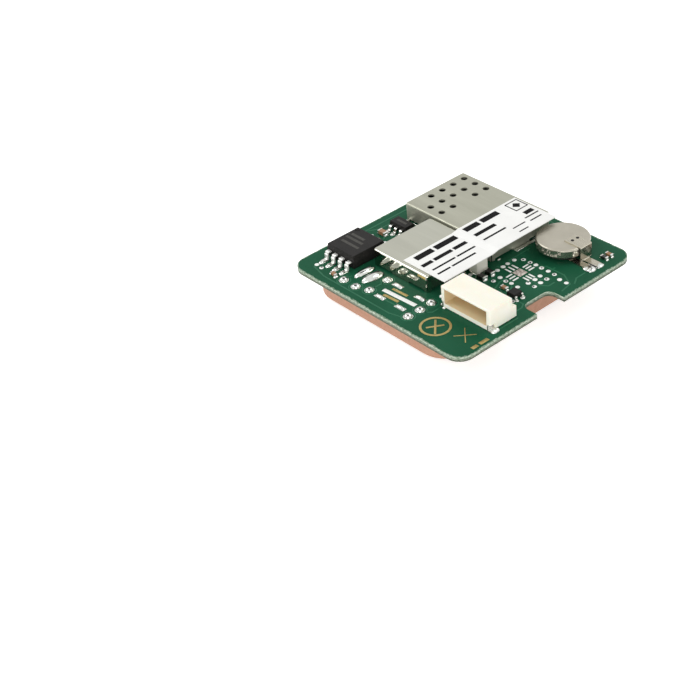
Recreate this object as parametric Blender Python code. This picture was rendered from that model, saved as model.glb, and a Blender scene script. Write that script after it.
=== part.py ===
"""A satellite positioning receiver on one small board, component side up, resting on its patch antenna."""

import math

import bmesh
import bpy
from mathutils import Matrix, Vector

MM = 0.001

# Bonded and soldered faces keep these films between them
BOND_FILM = 0.02 * MM
SOLDER_FILM = 0.05 * MM
MERGE_DISTANCE = 0.0001 * MM

# How far a cutter reaches past the faces it cuts
CUT_OVERSHOOT = 1.0 * MM

# Board: a square with round corners and one notch in its +X edge
BOARD_WIDTH = 30.0 * MM
BOARD_DEPTH = 30.0 * MM
BOARD_THICKNESS = 0.65 * MM
BOARD_CORNER = 2.0 * MM
NOTCH_WIDTH = 4.7 * MM
NOTCH_DEPTH = 2.5 * MM
NOTCH_CORNER = 1.0 * MM

# Patch antenna under the board, placed by its feed pin
CERAMIC_SIDE = 25.0 * MM
CERAMIC_HEIGHT = 3.7 * MM
CERAMIC_CORNER = 4.0 * MM
CERAMIC_CHAMFER = 0.15 * MM
ELECTRODE_INSET = 2.5 * MM
ELECTRODE_CLIP = 2.8 * MM
ELECTRODE_THICKNESS = 0.05 * MM
ADHESIVE_INSET = 0.3 * MM
ADHESIVE_THICKNESS = 0.3 * MM
ADHESIVE_HOLE = 3.0 * MM
FEED_X = 0.5 * MM
FEED_OFFSET = 2.8 * MM
PIN_DIAMETER = 0.9 * MM
PIN_CLEARANCE = 0.1 * MM
PIN_HEAD_DIAMETER = 1.8 * MM
PIN_HEAD_THICKNESS = 0.15 * MM
PIN_PROUD = 0.5 * MM
DOME_DIAMETER = 3.4 * MM
DOME_HEIGHT = 0.35 * MM
JOINT_DIAMETER = 2.0 * MM
JOINT_HEIGHT = 0.4 * MM

# Folded shield cans
CAN_WALL = 0.2 * MM
CAN_CORNER = 0.3 * MM
CAN_FOLD = 0.22 * MM
CAN_SPACING = 0.25 * MM
CAN_SLIT = 0.12 * MM
CAN_SLIT_TOP = 0.5 * MM
CAN_FOOT = 3.0 * MM
CAN_CORNER_FOOT = 0.6 * MM
CAN_RELIEF = 0.25 * MM
RECEIVER_CAN_WIDTH = 15.4 * MM
RECEIVER_CAN_DEPTH = 10.5 * MM
RECEIVER_CAN_HEIGHT = 2.55 * MM
RECEIVER_CAN_X = -4.35 * MM
RECEIVER_CAN_FRONT = 2.1 * MM
FRONT_CAN_WIDTH = 9.6 * MM
FRONT_CAN_DEPTH = 9.8 * MM
FRONT_CAN_HEIGHT = 2.35 * MM
FRONT_CAN_X = -2.35 * MM
VENT_DIAMETER = 0.9 * MM
VENT_PITCH = 2.0 * MM
VENT_EDGE = 1.35 * MM
VENT_COLUMNS = 3
VENT_ROWS = 5
VENTS_LEFT_OUT = ((0, 4), (2, 2))

# Paper label across both cans
LABEL_WIDTH = 7.1 * MM
LABEL_THICKNESS = 0.1 * MM
LABEL_X = 1.35 * MM
LABEL_END_MARGIN = 0.55 * MM
LABEL_RAMP = 1.0 * MM

# Memory chip: a wide eight-lead outline
MEMORY_LENGTH = 5.05 * MM
MEMORY_WIDTH = 5.3 * MM
MEMORY_HEIGHT = 1.9 * MM
MEMORY_X = -10.5 * MM
MEMORY_Y = -7.9 * MM
MEMORY_PITCH = 1.27 * MM
MEMORY_LEAD_WIDTH = 0.5 * MM
MEMORY_LEAD_REACH = 1.5 * MM
MEMORY_LEADS_A_SIDE = 4
INDEX_DIMPLE = 0.7 * MM

# Regulator: a small five-lead outline
REGULATOR_LENGTH = 3.0 * MM
REGULATOR_WIDTH = 1.6 * MM
REGULATOR_HEIGHT = 1.1 * MM
REGULATOR_X = -10.65 * MM
REGULATOR_Y = 0.1 * MM
REGULATOR_PITCH = 0.95 * MM
REGULATOR_LEAD_WIDTH = 0.4 * MM
REGULATOR_LEAD_REACH = 1.0 * MM

# Switching transistor beside the connector
TRANSISTOR_LENGTH = 1.25 * MM
TRANSISTOR_WIDTH = 1.35 * MM
TRANSISTOR_HEIGHT = 0.7 * MM
TRANSISTOR_X = 10.5 * MM
TRANSISTOR_Y = -1.4 * MM
TRANSISTOR_PITCH = 1.05 * MM
TRANSISTOR_LEAD_WIDTH = 0.25 * MM
TRANSISTOR_LEAD_REACH = 0.38 * MM

# What every moulded chip shares
LEAD_THICKNESS = 0.15 * MM
LEAD_BEND = 0.14 * MM
MOULD_SLOPE = 0.13
MOULD_EDGE = 0.05 * MM
MOULD_STANDOFF = 0.1 * MM

# Six-way side-entry connector, its mouth towards -Y
CONNECTOR_X = 9.58 * MM
CONNECTOR_FRONT_Y = -8.7 * MM
CONNECTOR_DEPTH = 3.75 * MM
CONNECTOR_HEIGHT = 2.9 * MM
CONNECTOR_END = 1.5 * MM
CONNECTOR_SIDE_WALL = 0.55 * MM
CONNECTOR_ROOF = 0.3 * MM
CONNECTOR_FLOOR = 0.6 * MM
CONNECTOR_MOUTH = 2.7 * MM
CONNECTOR_EDGE = 0.08 * MM
WING_LENGTH = 0.7 * MM
WING_WIDTH = 1.1 * MM
WING_HEIGHT = 1.55 * MM
CONTACTS = 6
CONTACT_PITCH = 1.0 * MM
CONTACT_WIDTH = 0.3 * MM
CONTACT_THICKNESS = 0.16 * MM
CONTACT_LEVEL = 2.0 * MM
CONTACT_TIP = 1.8 * MM
CONTACT_FOOT = 0.7 * MM
CONTACT_SLACK = 0.03 * MM
ANCHOR_WIDTH = 1.0 * MM
ANCHOR_THICKNESS = 0.15 * MM
ANCHOR_HEIGHT = 0.8 * MM
ANCHOR_FOOT = 0.5 * MM
ANCHOR_ROOM = 0.42 * MM
ANCHOR_Y = 0.4 * MM

# Backup cell with welded tabs
CELL_X = 7.85 * MM
CELL_Y = 10.05 * MM
CELL_DIAMETER = 6.8 * MM
CELL_CUP_HEIGHT = 1.35 * MM
CELL_CAP_DIAMETER = 5.2 * MM
CELL_CAP_HEIGHT = 0.45 * MM
CELL_EDGE = 0.22 * MM
CELL_CRIMP = 0.35 * MM
GASKET_WALL = 0.25 * MM
GASKET_HEIGHT = 0.2 * MM
TAB_THICKNESS = 0.1 * MM
TAB_WIDTH = 2.0 * MM
TAB_OVERLAP = 2.6 * MM
TAB_FOOT_WIDTH = 1.0 * MM
TAB_FOOT_LENGTH = 2.3 * MM
TAB_SHIFT = 0.2 * MM
MINUS_TAB_WIDTH = 0.9 * MM
MINUS_TAB_Y = -1.0 * MM
MINUS_TAB_REACH = 5.5 * MM

# Chip parts, as length, width and height
CHIP_CAP = 0.22 * MM
CHIP_STEP = 0.02 * MM
SMALL_CHIP = (1.0 * MM, 0.5 * MM, 0.35 * MM)
MEDIUM_CHIP = (1.3 * MM, 0.75 * MM, 0.5 * MM)
LARGE_CHIP = (1.6 * MM, 0.8 * MM, 0.5 * MM)
INDUCTOR = (1.8 * MM, 1.4 * MM, 1.8 * MM)
LED_SIZE = (1.7 * MM, 0.85 * MM, 0.5 * MM)
LED_SHELF = 0.2 * MM

# Places of the parts underneath, counted from the free corner of the ceramic block
LAMP_PLACE = (2.85 * MM, 0.15 * MM)
LAMP_RESISTOR_PLACE = (-0.7 * MM, 0.6 * MM)
LAMP_CAPACITOR_PLACE = (0.8 * MM, 0.4 * MM)
LAMP_DRIVER_PLACE = (1.9 * MM, -1.3 * MM)

# Chips under the two cans
QFN_SIDE = 7.0 * MM
QFN_HEIGHT = 0.9 * MM
OSCILLATOR = (2.5 * MM, 2.0 * MM, 0.8 * MM)
CRYSTAL = (3.2 * MM, 1.5 * MM, 0.8 * MM)
SAW_FILTER = (1.4 * MM, 1.1 * MM, 0.5 * MM)
AMPLIFIER = (1.5 * MM, 1.0 * MM, 0.6 * MM)
LID_INSET = 0.15 * MM
LID_HEIGHT = 0.12 * MM
HIDDEN_CLEARANCE = 0.5 * MM
CLOCK_GAP = 1.0 * MM
INPUT_SHIFT = 1.0 * MM

# Levels, counted up from the surface that the solder dome rests on
ELECTRODE_Z = DOME_HEIGHT + BOND_FILM
CERAMIC_Z = ELECTRODE_Z + ELECTRODE_THICKNESS + BOND_FILM
ADHESIVE_Z = CERAMIC_Z + CERAMIC_HEIGHT + BOND_FILM
BOARD_Z = ADHESIVE_Z + ADHESIVE_THICKNESS + BOND_FILM
TOP_Z = BOARD_Z + BOARD_THICKNESS
PART_Z = TOP_Z + SOLDER_FILM
UNDER_Z = BOARD_Z - SOLDER_FILM

PATCH_X = FEED_X - FEED_OFFSET
PATCH_EDGE_X = PATCH_X + CERAMIC_SIDE / 2
PATCH_EDGE_Y = CERAMIC_SIDE / 2
RECEIVER_CAN_Y = RECEIVER_CAN_FRONT + RECEIVER_CAN_DEPTH / 2
FRONT_CAN_BACK = RECEIVER_CAN_FRONT - CAN_SPACING
FRONT_CAN_Y = FRONT_CAN_BACK - FRONT_CAN_DEPTH / 2


def linear(hex_code):
    """The linear colour of an sRGB hex value."""
    channels = [int(hex_code[i : i + 2], 16) / 255 for i in (0, 2, 4)]
    return [c / 12.92 if c < 0.04045 else ((c + 0.055) / 1.055) ** 2.4 for c in channels]


def finish(name, hex_code, roughness, metallic=0.0):
    material = bpy.data.materials.new(name)
    material.use_nodes = True
    shader = material.node_tree.nodes["Principled BSDF"]
    shader.inputs["Base Color"].default_value = (*linear(hex_code), 1)
    shader.inputs["Roughness"].default_value = roughness
    shader.inputs["Metallic"].default_value = metallic
    return material


def add_empty(name, location, turn=0.0, parent=None):
    empty = bpy.data.objects.new(name, None)
    bpy.context.collection.objects.link(empty)
    empty.location = location
    empty.rotation_euler.z = turn
    empty.parent = parent
    return empty


def add_solid(name, bm, material, parent, location=(0, 0, 0), turn=0.0, smooth=False):
    """Turns a bmesh into a named object, in its own place under its parent."""
    mesh = bpy.data.meshes.new(name)
    bm.to_mesh(mesh)
    bm.free()
    mesh.materials.append(material)
    if smooth:
        mesh.shade_smooth()
        mesh.set_sharp_from_angle(angle=math.radians(35))
    solid = bpy.data.objects.new(name, mesh)
    bpy.context.collection.objects.link(solid)
    solid.parent = parent
    solid.location = location
    solid.rotation_euler.z = turn
    return solid


def cut(solid, bm, name):
    """Cuts the shapes of a bmesh out of a solid. The cutter moves with it and isn't part of the object."""
    mesh = bpy.data.meshes.new(name)
    bm.to_mesh(mesh)
    bm.free()
    cutter = bpy.data.objects.new(name, mesh)
    bpy.context.collection.objects.link(cutter)
    cutter.parent = solid
    cutter.hide_render = True
    cutter.display_type = "WIRE"
    boolean = solid.modifiers.new(name, "BOOLEAN")
    boolean.operation = "DIFFERENCE"
    boolean.solver = "EXACT"
    boolean.object = cutter


def moved_verts(geometry):
    return [item for item in geometry if isinstance(item, bmesh.types.BMVert)]


def bevel(bm, edges, width, segments):
    bmesh.ops.bevel(
        bm,
        geom=edges,
        offset=width,
        offset_type="OFFSET",
        segments=segments,
        profile=0.5,
        affect="EDGES",
        material=-1,
    )


def rounded_rectangle(width, depth, radius, steps=8):
    """The points of a rectangle with round corners, anticlockwise."""
    points = []
    for quarter, (sx, sy) in enumerate(((1, 1), (-1, 1), (-1, -1), (1, -1))):
        centre = Vector((sx * (width / 2 - radius), sy * (depth / 2 - radius)))
        for step in range(steps + 1):
            angle = math.radians(90 * (quarter + step / steps))
            points.append(centre + radius * Vector((math.cos(angle), math.sin(angle))))
    return points


def prism(points, low, high):
    """An outline extruded from one height to another."""
    bm = bmesh.new()
    outline = bm.faces.new([bm.verts.new((x, y, low)) for x, y in points])
    extruded = bmesh.ops.extrude_face_region(bm, geom=[outline])
    bmesh.ops.translate(bm, vec=(0, 0, high - low), verts=moved_verts(extruded["geom"]))
    bmesh.ops.recalc_face_normals(bm, faces=bm.faces)
    return bm


def add_box(bm, low, high, turn=0.0):
    """Adds a box between two corners, turned about its own middle."""
    low, high = Vector(low), Vector(high)
    place = Matrix.Translation((low + high) / 2) @ Matrix.Rotation(turn, 4, "Z")
    made = bmesh.ops.create_cube(bm, size=1.0, matrix=place @ Matrix.Diagonal((*(high - low), 1)))
    return made["verts"]


def add_cylinder(bm, centre, radius, low, high, segments=24):
    place = Matrix.Translation((centre[0], centre[1], (low + high) / 2))
    bmesh.ops.create_cone(
        bm, cap_ends=True, segments=segments, radius1=radius, radius2=radius, depth=high - low, matrix=place
    )


def turned(profile, segments, closed=False):
    """A solid of revolution about Z, from (radius, height) points.

    An open profile starts and ends on the axis, a closed one makes a ring.
    """
    bm = bmesh.new()
    verts = [bm.verts.new((radius, 0, height)) for radius, height in profile]
    ends = zip(verts, verts[1:] + verts[:1]) if closed else zip(verts, verts[1:])
    edges = [bm.edges.new(pair) for pair in ends]
    bmesh.ops.spin(
        bm,
        geom=verts + edges,
        cent=(0, 0, 0),
        axis=(0, 0, 1),
        angle=math.tau,
        steps=segments,
        use_merge=True,
    )
    bmesh.ops.remove_doubles(bm, verts=bm.verts, dist=MERGE_DISTANCE)
    bmesh.ops.recalc_face_normals(bm, faces=bm.faces)
    return bm


def arc(centre, radius, start, end, steps=4):
    """(radius, height) points of an arc between two angles in degrees."""
    angles = [math.radians(start + (end - start) * step / steps) for step in range(steps + 1)]
    return [(centre[0] + radius * math.cos(a), centre[1] + radius * math.sin(a)) for a in angles]


def bent_path(corners, bend, steps=3):
    """A line through corners whose inner ones are bent to a radius, or to the largest that fits."""
    corners = [Vector(corner) for corner in corners]
    path = [corners[0]]
    for before, corner, after in zip(corners, corners[1:], corners[2:]):
        arrive, leave = (corner - before).normalized(), (after - corner).normalized()
        turn = arrive.angle(leave)
        room = 0.45 * min((corner - before).length, (after - corner).length)
        reach = min(bend * math.tan(turn / 2), room)
        side = 1 if arrive.x * leave.y > arrive.y * leave.x else -1
        start = corner - reach * arrive
        centre = start + side * reach / math.tan(turn / 2) * Vector((-arrive.y, arrive.x))
        for step in range(steps + 1):
            path.append(centre + Matrix.Rotation(side * turn * step / steps, 2) @ (start - centre))
    return path + [corners[-1]]


def sheet_strip(name, corners, width, thickness, bend, material, parent, location=(0, 0, 0), turn=0.0):
    """A bent strip of sheet: its path runs out along X and up along Z, and its width lies across Y."""
    bm = bmesh.new()
    verts = [bm.verts.new((out, -width / 2, up)) for out, up in bent_path(corners, bend)]
    edges = [bm.edges.new(pair) for pair in zip(verts, verts[1:])]
    extruded = bmesh.ops.extrude_edge_only(bm, edges=edges)
    bmesh.ops.translate(bm, vec=(0, width, 0), verts=moved_verts(extruded["geom"]))
    strip = add_solid(name, bm, material, parent, location, turn, smooth=True)
    sheet = strip.modifiers.new("Sheet", "SOLIDIFY")
    sheet.thickness = thickness
    sheet.offset = 0
    sheet.use_even_offset = True
    return strip


def moulded_body(length, width, height, standoff):
    """A chip's moulding: its waist is full size, and it draws in above and below."""
    bm = bmesh.new()
    add_box(bm, (-length / 2, -width / 2, standoff), (length / 2, width / 2, height))
    waist = (standoff + height) / 2
    geometry = bm.verts[:] + bm.edges[:] + bm.faces[:]
    bmesh.ops.bisect_plane(bm, geom=geometry, plane_co=(0, 0, waist), plane_no=(0, 0, 1))
    draft = MOULD_SLOPE * (height - waist)
    for vert in bm.verts:
        if abs(vert.co.z - waist) > MERGE_DISTANCE:
            vert.co.x -= math.copysign(draft, vert.co.x)
            vert.co.y -= math.copysign(draft, vert.co.y)
    rim = [edge for edge in bm.edges if all(vert.co.z > height - MERGE_DISTANCE for vert in edge.verts)]
    bevel(bm, rim, MOULD_EDGE, 2)
    return bm


def gull_wing(reach, waist):
    """A lead's path from the moulding's waist out and down to its foot on the solder."""
    foot = LEAD_THICKNESS / 2
    return [
        (BOND_FILM, waist),
        (0.36 * reach, waist),
        (0.5 * reach, foot),
        (reach, foot),
    ]


def add_leads(name, places, reach, width, waist, material, parent):
    """One gull-wing lead for each (x, y, turn) at the moulding's side."""
    path = gull_wing(reach, waist)
    for number, (x, y, turn) in enumerate(places, start=1):
        lead, place = f"{name}_{number}", (x, y, 0)
        sheet_strip(lead, path, width, LEAD_THICKNESS, LEAD_BEND, material, parent, place, turn)


def chip_part(name, size, cap, material, parent, location, turn=0.0):
    """A chip resistor or capacitor: a ceramic bar with an end cap a little thicker all round."""
    length, width, height = size
    bm = bmesh.new()
    bar = (length / 2 - cap, width / 2 - CHIP_STEP, height / 2 - CHIP_STEP)
    add_box(bm, [-half for half in bar], bar)
    for side in (-1, 1):
        end = next(face for face in bm.faces if face.normal.x * side > 0.9)
        for grow, step in ((CHIP_STEP, 0.0), (0.0, cap)):
            extruded = bmesh.ops.extrude_face_region(bm, geom=[end])["geom"]
            bmesh.ops.delete(bm, geom=[end], context="FACES_ONLY")
            for vert in moved_verts(extruded):
                vert.co.x += side * step
                vert.co.y += math.copysign(grow, vert.co.y)
                vert.co.z += math.copysign(grow, vert.co.z)
            end = next(item for item in extruded if isinstance(item, bmesh.types.BMFace))
    bmesh.ops.translate(bm, vec=(0, 0, height / 2), verts=bm.verts)
    bmesh.ops.recalc_face_normals(bm, faces=bm.faces)
    end = length / 2 - MERGE_DISTANCE
    ends = [edge for edge in bm.edges if all(abs(vert.co.x) > end for vert in edge.verts)]
    bevel(bm, ends, 2 * CHIP_STEP, 2)
    return add_solid(name, bm, material, parent, location, turn)


def lidded_package(name, size, material, parent, location):
    """A ceramic package with a lower lid set in from its edge."""
    length, width, height = size
    bm = bmesh.new()
    add_box(bm, (-length / 2, -width / 2, 0), (length / 2, width / 2, height - LID_HEIGHT))
    roof = next(face for face in bm.faces if face.normal.z > 0.9)
    bmesh.ops.inset_region(bm, faces=[roof], thickness=LID_INSET, use_even_offset=True)
    raised = bmesh.ops.extrude_face_region(bm, geom=[roof])
    bmesh.ops.delete(bm, geom=[roof], context="FACES_ONLY")
    bmesh.ops.translate(bm, vec=(0, 0, LID_HEIGHT), verts=moved_verts(raised["geom"]))
    return add_solid(name, bm, material, parent, location)


def make_board(parent, material):
    """The board's outline starts at the notch and runs once round the board."""
    half_width, half_notch = BOARD_WIDTH / 2, NOTCH_WIDTH / 2
    floor = half_width - NOTCH_DEPTH
    notch = [Vector((half_width, -half_notch))]
    for centre_y, start in ((-half_notch + NOTCH_CORNER, 270), (half_notch - NOTCH_CORNER, 180)):
        bend = arc((floor + NOTCH_CORNER, centre_y), NOTCH_CORNER, start, start - 90)
        notch += [Vector(point) for point in bend]
    notch.append(Vector((half_width, half_notch)))
    outline = rounded_rectangle(BOARD_WIDTH, BOARD_DEPTH, BOARD_CORNER)
    board = add_solid("circuit_board", prism(outline + notch, BOARD_Z, TOP_Z), material, parent)
    hole = bmesh.new()
    pin_hole = PIN_DIAMETER / 2 + PIN_CLEARANCE
    add_cylinder(hole, (FEED_X, 0), pin_hole, BOARD_Z - CUT_OVERSHOOT, TOP_Z + CUT_OVERSHOOT)
    cut(board, hole, "board_pin_hole")


def make_antenna(parent, ceramic, silver, foam, solder):
    """Ceramic block, its radiating film, the pad that holds it and the pin that feeds it."""
    group = add_empty("antenna", (PATCH_X, 0, 0), parent=parent)
    outline = rounded_rectangle(CERAMIC_SIDE, CERAMIC_SIDE, CERAMIC_CORNER)
    bm = prism(outline, CERAMIC_Z, CERAMIC_Z + CERAMIC_HEIGHT)
    lower = [edge for edge in bm.edges if all(vert.co.z < CERAMIC_Z + MERGE_DISTANCE for vert in edge.verts)]
    bevel(bm, lower, CERAMIC_CHAMFER, 2)
    block = add_solid("antenna_ceramic", bm, ceramic, group, smooth=True)
    hole = bmesh.new()
    pin_hole = PIN_DIAMETER / 2 + PIN_CLEARANCE
    add_cylinder(hole, (FEED_OFFSET, 0), pin_hole, CERAMIC_Z - CUT_OVERSHOOT, ADHESIVE_Z + CUT_OVERSHOOT)
    cut(block, hole, "ceramic_pin_hole")

    half = CERAMIC_SIDE / 2 - ELECTRODE_INSET
    clip = ELECTRODE_CLIP
    film = [(half, -half), (half, half - clip), (half - clip, half)]
    film += [(-half, half), (-half, clip - half), (clip - half, -half)]
    bm = prism(film, ELECTRODE_Z, ELECTRODE_Z + ELECTRODE_THICKNESS)
    patch = add_solid("patch_electrode", bm, silver, group)
    hole = bmesh.new()
    add_cylinder(hole, (FEED_OFFSET, 0), pin_hole, ELECTRODE_Z - CUT_OVERSHOOT, CERAMIC_Z + CUT_OVERSHOOT)
    cut(patch, hole, "electrode_pin_hole")

    side = CERAMIC_SIDE - 2 * ADHESIVE_INSET
    outline = rounded_rectangle(side, side, CERAMIC_CORNER - ADHESIVE_INSET)
    bm = prism(outline, ADHESIVE_Z, ADHESIVE_Z + ADHESIVE_THICKNESS)
    pad = add_solid("adhesive_pad", bm, foam, group)
    hole = bmesh.new()
    low, high = ADHESIVE_Z - CUT_OVERSHOOT, BOARD_Z + CUT_OVERSHOOT
    add_cylinder(hole, (FEED_OFFSET, 0), ADHESIVE_HOLE / 2, low, high)
    cut(pad, hole, "adhesive_pin_hole")

    feed = add_empty("feed", (FEED_OFFSET, 0, 0), parent=group)
    head_low, head_high = DOME_HEIGHT - PIN_HEAD_THICKNESS, DOME_HEIGHT
    tip = TOP_Z + PIN_PROUD
    radius, head = PIN_DIAMETER / 2, PIN_HEAD_DIAMETER / 2
    pin = [(0, head_low), (head, head_low), (head, head_high), (radius, head_high)]
    pin += [(radius, tip - 0.2 * radius), (0.8 * radius, tip), (0, tip)]
    add_solid("feed_pin", turned(pin, 24), solder, feed, smooth=True)

    rim = DOME_DIAMETER / 2
    ball = (rim**2 + DOME_HEIGHT**2) / (2 * DOME_HEIGHT)
    steps = 7
    dome = [(0, 0)]
    for step in range(1, steps + 1):
        out = rim * step / steps
        dome.append((out, ball - math.sqrt(ball**2 - out**2)))
    pocket = head + BOND_FILM
    dome += [(pocket, DOME_HEIGHT), (pocket, head_low - BOND_FILM), (0, head_low - BOND_FILM)]
    add_solid("feed_solder", turned(dome, 32), solder, feed, smooth=True)

    bore = radius + BOND_FILM
    foot = JOINT_DIAMETER / 2
    top = TOP_Z + SOLDER_FILM
    cone = [(bore, top), (foot, top), (0.55 * (foot + bore), top + 0.35 * JOINT_HEIGHT)]
    cone += [(1.15 * bore, top + JOINT_HEIGHT), (bore, top + JOINT_HEIGHT)]
    add_solid("pin_solder", turned(cone, 24, closed=True), solder, feed, smooth=True)


def rim_reliefs(bm, length, across, reliefs):
    """Boxes along both walls of one direction, which leave feet on the rim between them."""
    gap = (length - 2 * CAN_CORNER_FOOT - (reliefs - 1) * CAN_FOOT) / reliefs
    for number in range(reliefs):
        start = -length / 2 + CAN_CORNER_FOOT + number * (gap + CAN_FOOT)
        for side in (-1, 1):
            wall = side * across / 2
            low = (start, wall - 2 * CAN_WALL, -CUT_OVERSHOOT)
            add_box(bm, low, (start + gap, wall + 2 * CAN_WALL, CAN_RELIEF))


def shield_can(name, width, depth, height, centre, material, parent):
    """A lid folded from one sheet: round folds, open slits at its corners, and a rim cut into feet."""
    bm = bmesh.new()
    add_box(bm, (-width / 2, -depth / 2, 0), (width / 2, depth / 2, height))
    uprights = [edge for edge in bm.edges if abs(edge.verts[0].co.z - edge.verts[1].co.z) > height / 2]
    bevel(bm, uprights, CAN_CORNER, 3)
    roof = [edge for edge in bm.edges if all(vert.co.z > height - MERGE_DISTANCE for vert in edge.verts)]
    bevel(bm, roof, CAN_FOLD, 3)
    floor = [face for face in bm.faces if all(vert.co.z < MERGE_DISTANCE for vert in face.verts)]
    bmesh.ops.delete(bm, geom=floor, context="FACES_ONLY")
    can = add_solid(name, bm, material, parent, (*centre, PART_Z), smooth=True)
    sheet = can.modifiers.new("Sheet", "SOLIDIFY")
    sheet.thickness = CAN_WALL
    sheet.offset = -1
    sheet.use_even_offset = True

    slits = bmesh.new()
    for sx, sy in ((1, 1), (-1, 1), (-1, -1), (1, -1)):
        x, y = sx * (width / 2 - CAN_CORNER), sy * (depth / 2 - CAN_CORNER)
        reach = 3 * CAN_CORNER
        low = (x - reach / 2, y - CAN_SLIT / 2, -CUT_OVERSHOOT)
        high = (x + reach / 2, y + CAN_SLIT / 2, height - CAN_SLIT_TOP)
        add_box(slits, low, high, turn=math.radians(45 * sx * sy))
    cut(can, slits, f"{name}_slits")

    reliefs = bmesh.new()
    rim_reliefs(reliefs, width, depth, max(2, round(width / (2 * CAN_FOOT))))
    sideways = bmesh.new()
    rim_reliefs(sideways, depth, width, max(2, round(depth / (2 * CAN_FOOT))))
    quarter_turn = Matrix.Rotation(math.radians(90), 3, "Z")
    bmesh.ops.rotate(sideways, cent=(0, 0, 0), matrix=quarter_turn, verts=sideways.verts)
    cut(can, reliefs, f"{name}_long_reliefs")
    cut(can, sideways, f"{name}_cross_reliefs")
    return can


def make_cans(parent, tin):
    """The vented can over the receiver, and the plain one over the antenna's input, close in front of it."""
    centre = (RECEIVER_CAN_X, RECEIVER_CAN_Y)
    can = shield_can(
        "receiver_can", RECEIVER_CAN_WIDTH, RECEIVER_CAN_DEPTH, RECEIVER_CAN_HEIGHT, centre, tin, parent
    )
    vents = bmesh.new()
    first_x = VENT_EDGE - RECEIVER_CAN_WIDTH / 2
    first_y = VENT_EDGE - RECEIVER_CAN_DEPTH / 2
    for column in range(VENT_COLUMNS):
        for row in range(VENT_ROWS):
            if (column, VENT_ROWS - 1 - row) not in VENTS_LEFT_OUT:
                place = (first_x + column * VENT_PITCH, first_y + row * VENT_PITCH)
                low, high = RECEIVER_CAN_HEIGHT - 2 * CAN_WALL, RECEIVER_CAN_HEIGHT + CAN_WALL
                add_cylinder(vents, place, VENT_DIAMETER / 2, low, high, segments=20)
    cut(can, vents, "can_vents")
    centre = (FRONT_CAN_X, FRONT_CAN_Y)
    shield_can("frontend_can", FRONT_CAN_WIDTH, FRONT_CAN_DEPTH, FRONT_CAN_HEIGHT, centre, tin, parent)


def make_label(parent, paper):
    """One strip of paper over both cans, which climbs from the lower roof to the higher one."""
    lift = BOND_FILM + LABEL_THICKNESS / 2
    low = PART_Z + FRONT_CAN_HEIGHT + lift
    high = PART_Z + RECEIVER_CAN_HEIGHT + lift
    front = FRONT_CAN_Y - FRONT_CAN_DEPTH / 2 + LABEL_END_MARGIN
    back = RECEIVER_CAN_Y + RECEIVER_CAN_DEPTH / 2 - LABEL_END_MARGIN
    path = [(front, low), (FRONT_CAN_BACK - LABEL_RAMP, low), (FRONT_CAN_BACK, high), (back, high)]
    bend, place, turn = 4 * LABEL_THICKNESS, (LABEL_X, 0, 0), math.radians(90)
    sheet_strip("label", path, LABEL_WIDTH, LABEL_THICKNESS, bend, paper, parent, place, turn)


def make_hidden_chips(parent, resin, ceramic):
    """What the two cans cover: the receiver and its clocks, and the antenna's filter and amplifier."""
    bm = bmesh.new()
    add_box(bm, (-QFN_SIDE / 2, -QFN_SIDE / 2, 0), (QFN_SIDE / 2, QFN_SIDE / 2, QFN_HEIGHT))
    upper = [edge for edge in bm.edges if all(vert.co.z > QFN_HEIGHT / 2 for vert in edge.verts)]
    bevel(bm, upper, MOULD_EDGE, 1)
    can = add_empty("receiver_can_inside", (RECEIVER_CAN_X, RECEIVER_CAN_Y, PART_Z), parent=parent)
    side_room = RECEIVER_CAN_WIDTH / 2 - CAN_WALL - CAN_CORNER
    add_solid("receiver_chip", bm, resin, can, (QFN_SIDE / 2 + HIDDEN_CLEARANCE - side_room, 0, 0))
    clocks_x = side_room - HIDDEN_CLEARANCE - CRYSTAL[0] / 2
    oscillator_y = CLOCK_GAP + OSCILLATOR[1] / 2
    crystal_y = -CLOCK_GAP - CRYSTAL[1] / 2
    lidded_package("reference_oscillator", OSCILLATOR, ceramic, can, (clocks_x, oscillator_y, 0))
    lidded_package("clock_crystal", CRYSTAL, ceramic, can, (clocks_x, crystal_y, 0))

    input_can = add_empty("frontend_can_inside", (FRONT_CAN_X, FRONT_CAN_Y, PART_Z), parent=parent)
    lidded_package("antenna_filter", SAW_FILTER, ceramic, input_can, (SAW_FILTER[0], -INPUT_SHIFT, 0))
    lidded_package("input_amplifier", AMPLIFIER, resin, input_can, (-AMPLIFIER[0], -INPUT_SHIFT, 0))


def make_memory(parent, resin, tin):
    """The wide memory chip, four leads along each long side."""
    group = add_empty("memory", (MEMORY_X, MEMORY_Y, PART_Z), parent=parent)
    bm = moulded_body(MEMORY_LENGTH, MEMORY_WIDTH, MEMORY_HEIGHT, MOULD_STANDOFF)
    body = add_solid("memory_chip", bm, resin, group)
    dimple = bmesh.new()
    inset = MOULD_SLOPE * MEMORY_HEIGHT / 2 + INDEX_DIMPLE
    dimple_at = (inset - MEMORY_LENGTH / 2, MEMORY_WIDTH / 2 - inset)
    floor, above = MEMORY_HEIGHT - MOULD_EDGE, MEMORY_HEIGHT + MOULD_EDGE
    add_cylinder(dimple, dimple_at, INDEX_DIMPLE / 2, floor, above, segments=16)
    cut(body, dimple, "memory_index")
    waist = (MOULD_STANDOFF + MEMORY_HEIGHT) / 2
    places = []
    for side in (-1, 1):
        for number in range(MEMORY_LEADS_A_SIDE):
            x = (number - (MEMORY_LEADS_A_SIDE - 1) / 2) * MEMORY_PITCH
            places.append((x, side * MEMORY_WIDTH / 2, math.radians(90 * side)))
    add_leads("memory_lead", places, MEMORY_LEAD_REACH, MEMORY_LEAD_WIDTH, waist, tin, group)


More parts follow.
